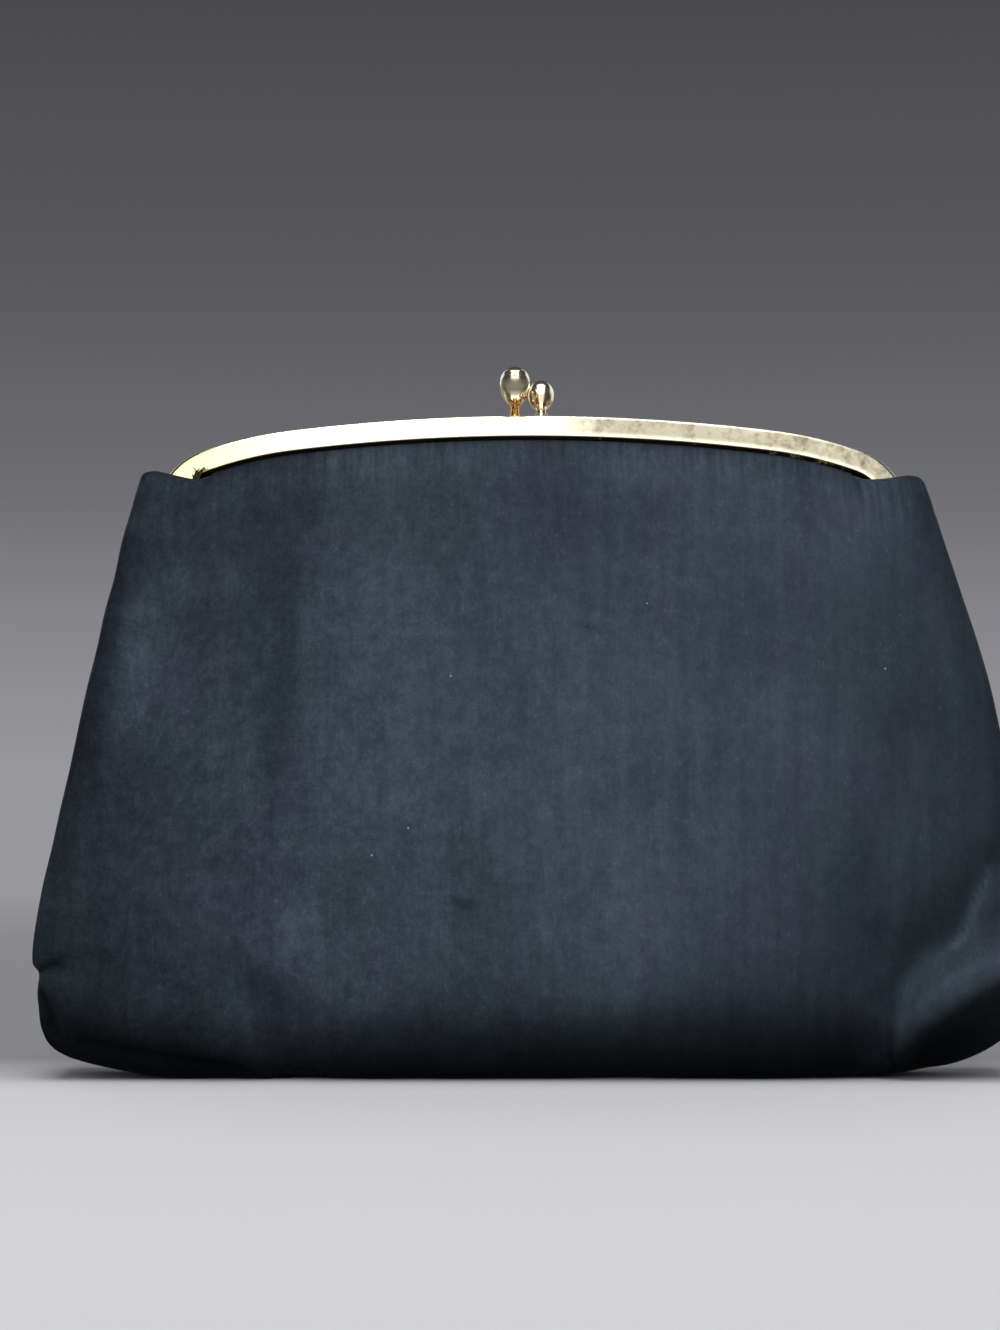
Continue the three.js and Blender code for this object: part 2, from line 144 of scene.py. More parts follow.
backdrop = bpy.data.worlds.new("grey_sweep")
backdrop.use_nodes = True
scene.world = backdrop
sky = backdrop.node_tree
sky.nodes.clear()
direction = add(sky, "TexCoord").outputs["Generated"]
height = add(sky, "SeparateXYZ", {"Vector": direction}).outputs["Z"]
share = add(sky, "MapRange", [height, 0.0, SWEEP_TOP])
tone = add(sky, "ValToRGB", {"Fac": share})
ramp_stops(tone, SWEEP_TONES)
glow = add(sky, "Background", {"Color": tone})
add(sky, "OutputWorld", {"Surface": glow})
print("backdrop tones:", len(SWEEP_TONES))

# %% Table
TABLE_HALF = 4.0
TABLE_PALE_Y, TABLE_GREY_Y = -0.045, 0.05
# Painted light: the table's colour grades from pale in front to grey behind the bag, for the falloff and
# shadow of the light.
TABLE_PAINTED_FALLOFF = {0.0: "#e6e6e9", 0.4: "#d4d4d7", 1.0: "#98989b"}
SWEEP_NEAR, SWEEP_FAR = 0.15, 1.4

table_mesh = bpy.data.meshes.new("table_top")
corners = [(-1, -1), (1, -1), (1, 1), (-1, 1)]
table_mesh.from_pydata([(x * TABLE_HALF, y * TABLE_HALF, 0.0) for x, y in corners], [], [(0, 1, 2, 3)])
table = placed("table_top", table_mesh)

laminate, tree = blank_material("laminate_painted_falloff_and_glow")
spot = add(tree, "TexCoord").outputs["Object"]
away = add(tree, "SeparateXYZ", {"Vector": spot}).outputs["Y"]
share = add(tree, "MapRange", [away, TABLE_PALE_Y, TABLE_GREY_Y])
tone = add(tree, "ValToRGB", {"Fac": share})
ramp_stops(tone, TABLE_PAINTED_FALLOFF)
far = add(tree, "VectorMath", {0: spot}, operation="LENGTH").outputs["Value"]
sweep = add(tree, "MapRange", [far, SWEEP_NEAR, SWEEP_FAR], interpolation_type="SMOOTHSTEP")
surface = {"Base Color": tone, "Roughness": 0.6, "Specular IOR Level": 0.15}
matt = add(tree, "BsdfPrincipled", surface)
# Painted light: far from the bag the table glows with the horizon grey of the sweep.
painted_glow = add(tree, "Emission", {"Color": linear(SWEEP_TONES[0.0])})
ground = add(tree, "MixShader", [sweep, matt, painted_glow])
add(tree, "OutputMaterial", {"Surface": ground})
table_mesh.materials.append(laminate)
print("table half width in m:", TABLE_HALF)

# %% Lights
LIGHTS = [
    {"name": "front_softbox", "place": (0.0, -1.5, 0.8), "size": (1.7, 1.6), "power": 12.5},
    {"name": "top_softbox", "place": (0.0, -0.35, 1.6), "size": (1.3, 1.2), "power": 17},
    {"name": "left_panel", "place": (-0.9, 1.0, 0.6), "size": (1.1, 0.9), "power": 3},
    {"name": "right_panel", "place": (0.9, 1.0, 0.6), "size": (1.1, 0.9), "power": 3},
]
LIGHT_AIM = Vector((0, 0, 90)) * MM

for row in LIGHTS:
    light = bpy.data.lights.new(row["name"], "AREA")
    light.shape = "RECTANGLE"
    light.size, light.size_y = row["size"]
    light.energy = row["power"]
    lamp = placed(row["name"], light)
    lamp.location = row["place"]
    lamp.rotation_euler = (LIGHT_AIM - lamp.location).to_track_quat("-Z", "Y").to_euler()
    lamp.visible_camera = False
print("lights:", [row["name"] for row in LIGHTS])

# %% [markdown]
# ## Cloth: black silk faille
# Faille is a plain weave with a flat cross rib and uneven threads. From a step away the eye sees a soft, dull
# cloth that is mottled at every size, from the single thread to a hand's breadth, a few streaks down the
# warp, and a greyer tone where years of handling have paled the black. The weave follows the cloth, so it
# is drawn on a UV map in metres: across the warp, and down the warp. An attribute that the panels carry
# dims or lifts the dye: it holds both the handling fade and painted shade and highlights, with darker
# creases, side edges and turned-under base and lighter lobes. 1 is the middle of a panel, and 0 is black.

# %% Silk faille: what runs through the weave
WEAVE = {
    "mottle": {"across": 4.4, "down": 5.0, "detail": 5.0, "rough": 0.95},
    "slub": {"across": 0.9, "down": 3.2, "detail": 2.0, "rough": 0.6, "tone": 0.09},
    "streak": {"across": 3.6, "down": 42.0, "detail": 3.0, "rough": 0.55, "tone": 0.21},
    # Painted light and shade of the small gathers just under the frame, strongest at the top of the cloth.
    "gather": {"across": 1.5, "down": 16.0, "detail": 2.0, "rough": 0.6},
    "fleck": {"across": 0.5, "down": 1.3, "detail": 1.0, "rough": 0.5},
    "cloud": {"across": 26.0, "down": 60.0, "detail": 3.0, "rough": 0.55, "tone": 0.26},
}
PLACED = {
    "mottle": {"axis": "X", "from": 75.0, "to": -75.0, "low": 0.33, "high": 0.85},
    "gather": {"axis": "Y", "from": -16.0, "to": -3.0, "low": 0.0, "high": 0.5},
}
RIB_PITCH = 0.8  # real ribs are near 0.4 mm, drawn coarser so that they show

faille, tree = blank_material("black_silk_faille")
chart = add(tree, "UVMap", uv_map="warp")
cloth_mm = add(tree, "VectorMath", {0: chart, "Scale": 1 / MM}, operation="SCALE")
noise = {}
for name, row in WEAVE.items():
    pitch = (1 / row["across"], 1 / row["down"], 1.0)
    step = add(tree, "Mapping", {"Vector": cloth_mm, "Scale": pitch})
    cells = {"Vector": step, "Scale": 1.0, "Detail": row["detail"], "Roughness": row["rough"]}
    noise[name] = add(tree, "TexNoise", cells, noise_dimensions="2D")
waves = {"Vector": cloth_mm, "Scale": math.pi / 10 / RIB_PITCH, "Distortion": 1.5, "Detail Scale": 2.0}
noise["rib"] = add(tree, "TexWave", waves, bands_direction="Y").outputs["Fac"]
print("patterns in the cloth:", sorted(noise))

# %% Silk faille: dye
CLOTH_BLUE = {0.0: "#060708", 0.5: "#3e4951", 1.0: "#5f6a73"}
CLOTH_PLUM = {0.0: "#060708", 0.5: "#3f4651", 1.0: "#5f6773"}
FLECK_TONE, FLECK_FROM, FLECK_TO = 0.2, 0.6, 0.8
WORN_FROM, WORN_TO = 0.48, 0.6
HUE_PATCH, HUE_FROM, HUE_TO = 22.0, 0.4, 0.62

# Handling fade mixed with painted shade and highlights: darker creases, side edges and turned-under base,
# lighter lobes.
faded = add(tree, "Attribute", attribute_name="faded").outputs["Fac"]
place = add(tree, "SeparateXYZ", {"Vector": cloth_mm}).outputs
strength = {name: row["tone"] for name, row in WEAVE.items() if "tone" in row}
for name, row in PLACED.items():
    reach = [place[row["axis"]], row["from"], row["to"], row["low"], row["high"]]
    strength[name] = add(tree, "MapRange", reach)
tone = 0.5
for name, share in strength.items():
    swing = add(tree, "Math", [noise[name], 0.5], operation="SUBTRACT")
    tone = add(tree, "Math", [swing, share, tone], operation="MULTIPLY_ADD")
flecks = add(tree, "MapRange", [noise["fleck"], FLECK_FROM, FLECK_TO])
worn = add(tree, "MapRange", [noise["mottle"], WORN_FROM, WORN_TO, 0.0, FLECK_TONE])
tone = add(tree, "Math", [flecks, worn, tone], operation="MULTIPLY_ADD")
dyes = []
for stops in (CLOTH_BLUE, CLOTH_PLUM):
    dyes.append(add(tree, "ValToRGB", {"Fac": tone}))
    ramp_stops(dyes[-1], stops)
step = add(tree, "Mapping", {"Vector": cloth_mm, "Scale": (1 / HUE_PATCH, 0.5 / HUE_PATCH, 1.0)})
patch = add(tree, "TexNoise", {"Vector": step, "Scale": 1.0, "Detail": 4.0})
hue = add(tree, "MapRange", [patch, HUE_FROM, HUE_TO])
dyed = add(tree, "Mix", {0: hue, 6: dyes[0], 7: dyes[1]}, data_type="RGBA").outputs[2]
dyed = add(tree, "VectorMath", {0: dyed, "Scale": faded}, operation="SCALE")
print("colour stops:", CLOTH_BLUE)

# %% Silk faille: lint, sheen and relief
LINT_COLOUR, LINT_SPACING, LINT_RADIUS = "#8e9298", 9.0, 0.24
LINT_RARITY, LINT_TO_X = 0.86, 100.0
RELIEF = {"rib": 0.25, "slub": 0.6, "mottle": 0.8, "streak": 0.3}
RELIEF_HEIGHT = 0.12
SLUB_RANGE, SLUB_ROUGH = (0.3, 0.7), (0.64, 0.5)

specks = add(tree, "TexVoronoi", {"Vector": cloth_mm, "Scale": 1 / LINT_SPACING}).outputs
draw = add(tree, "SeparateColor", {0: specks["Color"]}).outputs["Red"]
aside = add(tree, "Math", [place["X"]], operation="ABSOLUTE")
lint = 1.0
for value, test, limit in (
    (specks["Distance"], "LESS_THAN", LINT_RADIUS / LINT_SPACING),
    (draw, "GREATER_THAN", LINT_RARITY),
    (aside, "LESS_THAN", LINT_TO_X),
):
    passed = add(tree, "Math", [value, limit], operation=test)
    lint = add(tree, "Math", [passed, lint], operation="MULTIPLY")
linted = {0: lint, 6: dyed, 7: linear(LINT_COLOUR)}
height = 0.0
for name, weight in RELIEF.items():
    height = add(tree, "Math", [noise[name], weight, height], operation="MULTIPLY_ADD")
relief = {"Height": height, "Distance": RELIEF_HEIGHT * MM, "Strength": 0.3}
surface = {
    "Base Color": add(tree, "Mix", linted, data_type="RGBA").outputs[2],
    "Roughness": add(tree, "MapRange", [noise["slub"], *SLUB_RANGE, *SLUB_ROUGH]),
    "Normal": add(tree, "Bump", relief),
    "Specular IOR Level": 0.05,
    "Specular Tint": linear("#a6bac4"),
    "Sheen Weight": 0.01,
    "Sheen Roughness": 0.4,
    "Sheen Tint": linear("#b9c4cc"),
}
silk = add(tree, "BsdfPrincipled", surface)
add(tree, "OutputMaterial", {"Surface": silk})
print("relief in mm:", RELIEF_HEIGHT)

# %% [markdown]
# ## Metal: gilt brass
# The frame is rolled brass with a thin pale gilding. Gilding wears unevenly: one part stays mirror bright,
# and the rest gets fine pits, smudges and a dull grey-green film that spreads the light. So the wear mask
# changes colour and roughness together. The mask reads Object coordinates, because the frame never bends.
# Three numbers that a piece can carry do the rest: "rub" keeps an edge polished, "grime"
# darkens the turned-in lip of the frame as painted shade and a painted dark reflection of the cloth, flecked
# with real crust, and puts a painted dark reflection on the front of each knob head, and "gilt" shows the
# deep yellow left on the necks of the knobs.

# %% Gilt brass: sizes and colours
FILM_START_X, FILM_END_X, AGED_X, AGED_END_X = -2.0, 18.0, -54.0, -76.0
FILM_PATCH, FILM_SWING = 7.0, 1.1
SMUDGE, SMUDGE_FROM, SMUDGE_TO = 3.2, 0.48, 0.7
CRUMB_FROM, CRUMB_TO = 0.56, 0.66
PIT_SPACING, PIT_FROM, PIT_TO, PIT_DEPTH = 0.9, 0.06, 0.26, 0.04
METALS = {
    "gilt_brass_frame": dict(bright="#fdf7da", aged="#fdf4b8", film="#d0c8b0", smudge="#827c5b", film_to=1.0),
    "gilt_brass_knob": dict(bright="#f1e6c8", aged="#f1e6c8", film="#ddcea8", smudge="#ae9869", film_to=0.3),
}
GILT, GRIME_SHADE_COLOUR, CRUST = "#ecb662", "#15110c", "#8a7a5a"
BRIGHT_ROUGH, FILM_ROUGH, GRIME_ROUGH = 0.16, 0.42, 0.6
print("film spreads in mm from", FILM_START_X, "to", FILM_END_X)

# %% Gilt brass: the trees
metal = {}
for name, row in METALS.items():
    metal[name], tree = blank_material(name)
    spot = add(tree, "TexCoord").outputs["Object"]
    in_mm = add(tree, "VectorMath", {0: spot, "Scale": 1 / MM}, operation="SCALE")
    along_x = add(tree, "SeparateXYZ", {"Vector": in_mm}).outputs["X"]
    shade = {}
    for key in ("rub", "grime", "gilt"):
        shade[key] = add(tree, "Attribute", attribute_name=key).outputs["Fac"]

    spread = add(tree, "MapRange", [along_x, FILM_START_X, FILM_END_X, 0.0, row["film_to"]])
    aged = add(tree, "MapRange", [along_x, AGED_X, AGED_END_X])
    cells = {"Vector": in_mm, "Scale": 1 / FILM_PATCH, "Detail": 5.0, "Roughness": 0.65}
    patch = add(tree, "TexNoise", cells)
    uneven = add(tree, "Math", [patch, FILM_SWING, -FILM_SWING / 2], operation="MULTIPLY_ADD")
    film = add(tree, "Math", [spread, uneven], operation="ADD", use_clamp=True)
    unrubbed = add(tree, "Math", [1.0, shade["rub"]], operation="SUBTRACT")
    for share in (spread, unrubbed):
        film = add(tree, "Math", [film, share], operation="MULTIPLY")

    cells = {"Vector": in_mm, "Scale": 1 / SMUDGE, "Detail": 6.0, "Roughness": 0.72}
    cloudy = add(tree, "TexNoise", cells)
    pits = add(tree, "TexVoronoi", {"Vector": in_mm, "Scale": 1 / PIT_SPACING})
    masks = {"film": film, "spread": spread}
    for key, reach, within in (
        ("smudged", [cloudy, SMUDGE_FROM, SMUDGE_TO], "film"),
        ("pitted", [pits, PIT_FROM, PIT_TO, 1.0, 0.0], "smudged"),
        ("crusted", [cloudy, CRUMB_FROM, CRUMB_TO], "spread"),
    ):
        mask = add(tree, "MapRange", reach)
        masks[key] = add(tree, "Math", [mask, masks[within]], operation="MULTIPLY")

    # The dark colour is painted shade and a painted dark reflection on the frame's lip and on the knob heads,
    # flecked with real crust.
    crust = {0: masks["crusted"], 6: linear(GRIME_SHADE_COLOUR), 7: linear(CRUST)}
    crust_and_shade = add(tree, "Mix", crust, data_type="RGBA").outputs[2]
    colour = linear(row["bright"])
    for share, cover in (
        (aged, linear(row["aged"])),
        (film, linear(row["film"])),
        (masks["smudged"], linear(row["smudge"])),
        (masks["pitted"], linear(row["smudge"])),
        (shade["gilt"], linear(GILT)),
        (shade["grime"], crust_and_shade),
    ):
        colour = add(tree, "Mix", {0: share, 6: colour, 7: cover}, data_type="RGBA").outputs[2]
    rough = BRIGHT_ROUGH
    for share, most in ((film, FILM_ROUGH), (shade["grime"], GRIME_ROUGH)):
        rough = add(tree, "MapRange", [share, 0.0, 1.0, rough, most])
    dent = {"Height": masks["pitted"], "Distance": PIT_DEPTH * MM, "Strength": 0.5}
    dent = add(tree, "Bump", dent, invert=True)
    surface = {"Base Color": colour, "Metallic": 1.0, "Roughness": rough, "Normal": dent}
    shine = add(tree, "BsdfPrincipled", surface)
    add(tree, "OutputMaterial", {"Surface": shine})
print("metals:", sorted(metal))

# %% [markdown]
# ## Shapes shared by the pieces
# The bag is drawn from a few sizes in millimetres, the same ones that shape the solids. A short table gives
# a curve, such as the side of the pouch by height, and a rounded curve is laid through its rows.


# %% Curves from tables
def mix(a, b, t):
    return a + (b - a) * t


def smooth(t):
    t = np.clip(t, 0.0, 1.0)
    return t * t * (3 - 2 * t)


def along(xs, ys, at):
    """Rounded curve through the points of two columns, read at any places."""
    xs, ys = np.array(xs, dtype=float), np.array(ys, dtype=float)
    first, last = (ys[1] - ys[0]) / (xs[1] - xs[0]), (ys[-1] - ys[-2]) / (xs[-1] - xs[-2])
    slopes = np.concatenate([[first], (ys[2:] - ys[:-2]) / (xs[2:] - xs[:-2]), [last]])
    at = np.clip(at, xs[0], xs[-1])
    i = np.clip(np.searchsorted(xs, at, side="right") - 1, 0, len(xs) - 2)
    span = xs[i + 1] - xs[i]
    t = (at - xs[i]) / span
    bend = t * (1 - t) * span * ((1 - t) * slopes[i] - t * slopes[i + 1])
    return mix(ys[i], ys[i + 1], t * t * (3 - 2 * t)) + bend


print("halfway along a smooth step:", smooth(0.5))

# %% Arch of the frame
FRAME_TOP_Z, LEG_LENGTH, FACE_DROP = 151.7, 1.0, 3.0
ARCS = [
    {"radius": 456.0, "to": 7.0, "steps": 40},
    {"radius": 95.4, "to": 19.7, "steps": 16},
    {"radius": 15.8, "to": 90.0, "steps": 24},
]
from_angle, centre_x, centre_z, last_radius = 0.0, 0.0, FRAME_TOP_Z, 0.0
for arc in ARCS:
    step = last_radius - arc["radius"]
    centre_x += step * math.sin(math.radians(from_angle))
    centre_z += step * math.cos(math.radians(from_angle))
    arc.update(start=from_angle, x=centre_x, z=centre_z)
    from_angle, last_radius = arc["to"], arc["radius"]


def arch_z(x, drop):
    """Height of the line that lies a given drop inside the top edge of the frame, for x from 0 out."""
    height = np.full(np.shape(x), np.nan)
    for arc in reversed(ARCS):
        radius = arc["radius"] - drop
        reach = arc["x"] + radius * math.sin(math.radians(arc["to"]))
        inside = np.clip(radius**2 - (x - arc["x"]) ** 2, 0.0, None)
        height = np.where(x <= reach, arc["z"] + np.sqrt(inside), height)
    return height


def arch_drop(x, z):
    """How far inside the top edge of the frame a point of it lies. The legs and eyes count as the face."""
    drop = np.full(x.shape, FACE_DROP)
    for arc in ARCS:
        out, up = np.abs(x) - arc["x"], z - arc["z"]
        angle = np.degrees(np.arctan2(out, up))
        on_arc = (angle >= arc["start"]) & (angle <= arc["to"])
        drop = np.where(on_arc, arc["radius"] - np.hypot(out, up), drop)
    return drop


print("frame height at x = 0, 40, 73.5:", np.round(arch_z(np.array([0.0, 40.0, 73.5]), 0.0), 2))


# %% What every finished piece gets
def settle(piece, slot, *nodes):
    """Rides a finished piece on the body and lets it stand for its solids."""
    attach(piece, "root")
    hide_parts(*nodes)
    mesh = piece.data
    mesh.calc_loop_triangles()
    print(f"{piece.name}: {len(mesh.loop_triangles)} triangles for {', '.join(nodes)}")


def carry(mesh, **numbers):
    """Gives each point of a mesh its own numbers, for the material to read."""
    for name, values in numbers.items():
        mesh.attributes.new(name, "FLOAT", "POINT").data.foreach_set("value", np.ravel(values))


# %% [markdown]
# ## Frame halves
# Each half of the frame is one strip of sheet brass, rolled into a channel and bent to an arch. That is a
# section following a path, so Geometry Nodes make it: the path is a row of points along the arch, the
# section is a closed outline, its corners are rounded by the Fillet Curve node, and Curve to Mesh sweeps it.
# The normal of the path is set square to the arch, so the channel doesn't twist round the tight ends.

# %% Path and section
CHANNEL_DEPTH, CHANNEL_HEIGHT, CHANNEL_WALL, HALF_GAP = 5.2, 5.6, 0.65, 0.2
INNER_DROP = CHANNEL_HEIGHT - 1.4
FOLD_WALL, CHAMFER, FACE_MIDDLE = 0.8, 0.55, 3.4
LIP_HEIGHT, LIP_BEND, LIP_BEND_IN, LIP_TIP = 1.0, 0.74, 0.14, 0.1
SECTION = [
    (HALF_GAP, 0.0),
    (CHANNEL_DEPTH - CHAMFER, 0.0),
    (CHANNEL_DEPTH, CHAMFER),
    (CHANNEL_DEPTH, FACE_MIDDLE),
    (CHANNEL_DEPTH, CHANNEL_HEIGHT - LIP_HEIGHT),
    (CHANNEL_DEPTH - LIP_BEND_IN, CHANNEL_HEIGHT - LIP_BEND),
    (CHANNEL_DEPTH - CHANNEL_WALL + LIP_TIP, CHANNEL_HEIGHT),
    (CHANNEL_DEPTH - CHANNEL_WALL, CHANNEL_HEIGHT),
    (CHANNEL_DEPTH - CHANNEL_WALL, FOLD_WALL),
    (HALF_GAP + CHANNEL_WALL, FOLD_WALL),
    (HALF_GAP + CHANNEL_WALL, INNER_DROP),
    (HALF_GAP, INNER_DROP),
]

arch = []
for arc in ARCS:
    for i in range(1, arc["steps"] + 1):
        angle = math.radians(mix(arc["start"], arc["to"], i / arc["steps"]))
        arch.append((arc["x"] + arc["radius"] * math.sin(angle), arc["z"] + arc["radius"] * math.cos(angle)))
arch.append((arch[-1][0], arch[-1][1] - LEG_LENGTH))
arch = [(-x, z) for x, z in reversed(arch)] + [(0.0, FRAME_TOP_Z)] + arch
print("points along the arch:", len(arch), "corners of the section:", len(SECTION))

# %% Node tree that rolls a channel along a path
rolling = bpy.data.node_groups.new("roll_channel", "GeometryNodeTree")
sockets = {}
for name, kind in (
    ("Path", "Geometry"),
    ("Section", "Object"),
    ("Edge radius", "Float"),
    ("Edge steps", "Int"),
    ("Metal", "Material"),
):
    socket = rolling.interface.new_socket(name, in_out="INPUT", socket_type=f"NodeSocket{kind}")
    sockets[name] = socket.identifier
rolling.interface.new_socket("Channel", in_out="OUTPUT", socket_type="NodeSocketGeometry")
given = rolling.nodes.new("NodeGroupInput").outputs
path = add(rolling, "MeshToCurve", {"Mesh": given["Path"]})
square = {"Curve": path, "Normal": (0.0, 1.0, 0.0)}
upright = add(rolling, "SetCurveNormal", square, mode="FREE")
outline = add(rolling, "ObjectInfo", {"Object": given["Section"]}).outputs["Geometry"]
loop = add(rolling, "MeshToCurve", {"Mesh": outline})
fillet = {"Count": given["Edge steps"], "Radius": given["Edge radius"], "Limit Radius": True}
rounded = add(rolling, "FilletCurve", {"Curve": loop, **fillet}, mode="POLY")
sweeping = {"Curve": upright, "Profile Curve": rounded, "Fill Caps": True}
swept = add(rolling, "CurveToMesh", sweeping)
real = add(rolling, "RealizeInstances", {0: swept})
dressed = add(rolling, "SetMaterial", {0: real, "Material": given["Metal"]})
made = rolling.nodes.new("NodeGroupOutput").inputs
rolling.links.new(dressed.outputs[0], made["Channel"])
print("inputs of the tree:", list(sockets))


# %% Roll both halves
EDGE_RADIUS_METAL, EDGE_STEPS = 0.42, 5


def line_object(name, points, closed):
    count = len(points)
    edges = [(i, i + 1) for i in range(count - 1)] + ([(count - 1, 0)] if closed else [])
    mesh = bpy.data.meshes.new(name)
    mesh.from_pydata((np.array(points) * MM).tolist(), edges, [])
    return placed(name, mesh)


def baked(thing):
    """Plain mesh of an object as its modifiers leave it. The object itself goes."""
    scene.view_layers[0].update()
    graph = bpy.context.evaluated_depsgraph_get()
    mesh = bpy.data.meshes.new_from_object(thing.evaluated_get(graph))
    bpy.data.objects.remove(thing)
    return mesh


def rolled_channel(side):
    section = line_object("section", [(side * depth, -drop, 0.0) for depth, drop in SECTION], True)
    strip = line_object("strip", [(x, 0.0, z) for x, z in arch], False)
    roll = strip.modifiers.new("roll", "NODES")
    roll.node_group = rolling
    roll[sockets["Section"]] = section
    roll[sockets["Edge radius"]] = EDGE_RADIUS_METAL * MM
    roll[sockets["Edge steps"]] = EDGE_STEPS
    roll[sockets["Metal"]] = metal["gilt_brass_frame"]
    mesh = baked(strip)
    bpy.data.objects.remove(section)
    return mesh


print("edge radius of the metal in mm:", EDGE_RADIUS_METAL)

# %% [markdown]
# ## Hinge eyes
# Each leg of a half ends in a flat eye, and one rivet goes through the eyes of both halves. An eye is a flat
# outline with a hole, so a filled 2D curve with a little bevel draws it. The curve is made a mesh first and
# put in its place after that, because the finished piece has its place in its mesh.

# %% Hinge eyes
LUG_WALL, LUG_RADIUS, LUG_DROP, LUG_BEVEL = 0.8, 2.5, 2.6, 0.1
LUG_TONGUE, LUG_STEP, LUG_INSET = 3.2, 0.3, 0.1
EYE_STEPS, HOLE_STEPS = 25, 24
FIT_GAP, RIVET_RADIUS = 0.3, 0.9
LEG_X = ARCS[-1]["x"] + ARCS[-1]["radius"]
HINGE_Z = ARCS[-1]["z"] - LEG_LENGTH - LUG_DROP - LUG_STEP
EYE_X = {-1: LEG_X - 1.5 * LUG_WALL - FIT_GAP - LUG_INSET, 1: LEG_X - 0.5 * LUG_WALL - LUG_INSET}


def circle(radius, first, last, count):
    angles = np.radians(np.linspace(first, last, count))
    return [(radius * math.cos(a), radius * math.sin(a)) for a in angles]


def hinge_eye(side, end):
    tongue = LUG_DROP + LUG_TONGUE
    outline = circle(LUG_RADIUS, 0, -180, EYE_STEPS)
    outline += [(-LUG_RADIUS, tongue), (-HALF_GAP, tongue), (-HALF_GAP, LUG_DROP)]
    outline += [(LUG_RADIUS, LUG_DROP - LUG_STEP)]
    flat = bpy.data.curves.new("eye", "CURVE")
    flat.dimensions = "2D"
    flat.fill_mode = "BOTH"
    flat.extrude = (LUG_WALL / 2 - LUG_BEVEL) * MM
    flat.bevel_depth = LUG_BEVEL * MM
    flat.offset = -LUG_BEVEL * MM
    for ring in (outline, circle(RIVET_RADIUS + FIT_GAP, 0, 360 - 360 / HOLE_STEPS, HOLE_STEPS)):
        spline = flat.splines.new("POLY")
        spline.points.add(len(ring) - 1)
        spline.use_cyclic_u = True
        for point, (x, y) in zip(spline.points, ring):
            point.co = (x * MM, y * MM, 0.0, 1.0)
    mesh = baked(placed("eye", flat))
    stand = Matrix(((0, 0, 1, 0), (1, 0, 0, 0), (0, 1, 0, 0), (0, 0, 0, 1)))
    turn = Matrix.Rotation(math.pi, 4, "Z") if side > 0 else Matrix.Identity(4)
    mesh.transform(Matrix.Translation(Vector((end * EYE_X[side], 0, HINGE_Z)) * MM) @ turn @ stand)
    return mesh


print("height of the hinges in mm:", round(HINGE_Z, 2))

# %% Finished frame halves
SHARP_EDGE = math.radians(38)
RUB_TO, RUB_FADE, LOW_RUB, LOW_RUB_FADE = 0.1, 0.4, 3.9, 0.3
LIP_FROM, LIP_FADE = 4.52, 0.2


def joined(name, meshes, material):
    """One mesh piece from several plain meshes, sharp only at real edges."""
    points, faces = [], []
    for mesh in meshes:
        base = len(points)
        points += [tuple(v.co) for v in mesh.vertices]
        faces += [[base + i for i in face.vertices] for face in mesh.polygons]
    mesh = bpy.data.meshes.new(name)
    mesh.from_pydata(points, [], faces)
    mesh.shade_smooth()
    mesh.set_sharp_from_angle(angle=SHARP_EDGE)
    mesh.materials.append(material)
    return placed(name, mesh)


for half, side in (("front", -1), ("back", 1)):
    parts = [rolled_channel(side), hinge_eye(side, -1), hinge_eye(side, 1)]
    piece = joined(f"gilt_frame_{half}", parts, metal["gilt_brass_frame"])
    spots = np.array([v.co / MM for v in piece.data.vertices])
    inside = arch_drop(spots[:, 0], spots[:, 2])
    rub = 1 - smooth((inside - RUB_TO) / RUB_FADE) + smooth((inside - LOW_RUB) / LOW_RUB_FADE)
    # Painted shade and a painted dark reflection of the cloth on the turned-in lip below the face.
    carry(piece.data, rub=np.minimum(rub, 1.0), grime=smooth((inside - LIP_FROM) / LIP_FADE))
    settle(piece, "frame_metal", f"frame_{half}")

# %% [markdown]
# ## Kiss lock knobs
# Each knob was turned on a lathe: a pear-shaped head on a short post, leaning over the joint line so that
# the two heads press past each other. A lathe shape is a profile spun round an axis, so the profile is a
# short table of radius by height, rounded by the same curve as above, and each knob is the same table at
# its own size. A collar sits on the frame, and the shank is riveted under it.

# %% Lathe
LATHE_STEPS = 56


def lathe(profile):
    """Points and faces of a closed shape from (radius, height) rows that start and end on the axis."""
    inside = profile[1:-1]
    angles = 2 * math.pi * np.arange(LATHE_STEPS) / LATHE_STEPS
    points = [(r * math.cos(a), r * math.sin(a), h) for r, h in inside for a in angles]
    points += [(0.0, 0.0, profile[0][1]), (0.0, 0.0, profile[-1][1])]
    low, high = len(points) - 2, len(points) - 1
    top = (len(inside) - 1) * LATHE_STEPS
    pairs = [(i, (i + 1) % LATHE_STEPS) for i in range(LATHE_STEPS)]
    faces = []
    for a in range(0, top, LATHE_STEPS):
        b = a + LATHE_STEPS
        faces += [(a + i, a + j, b + j, b + i) for i, j in pairs]
    faces += [(j, i, low) for i, j in pairs]
    faces += [(top + i, top + j, high) for i, j in pairs]
    return np.array(points), faces


print("steps round a turned piece:", LATHE_STEPS)

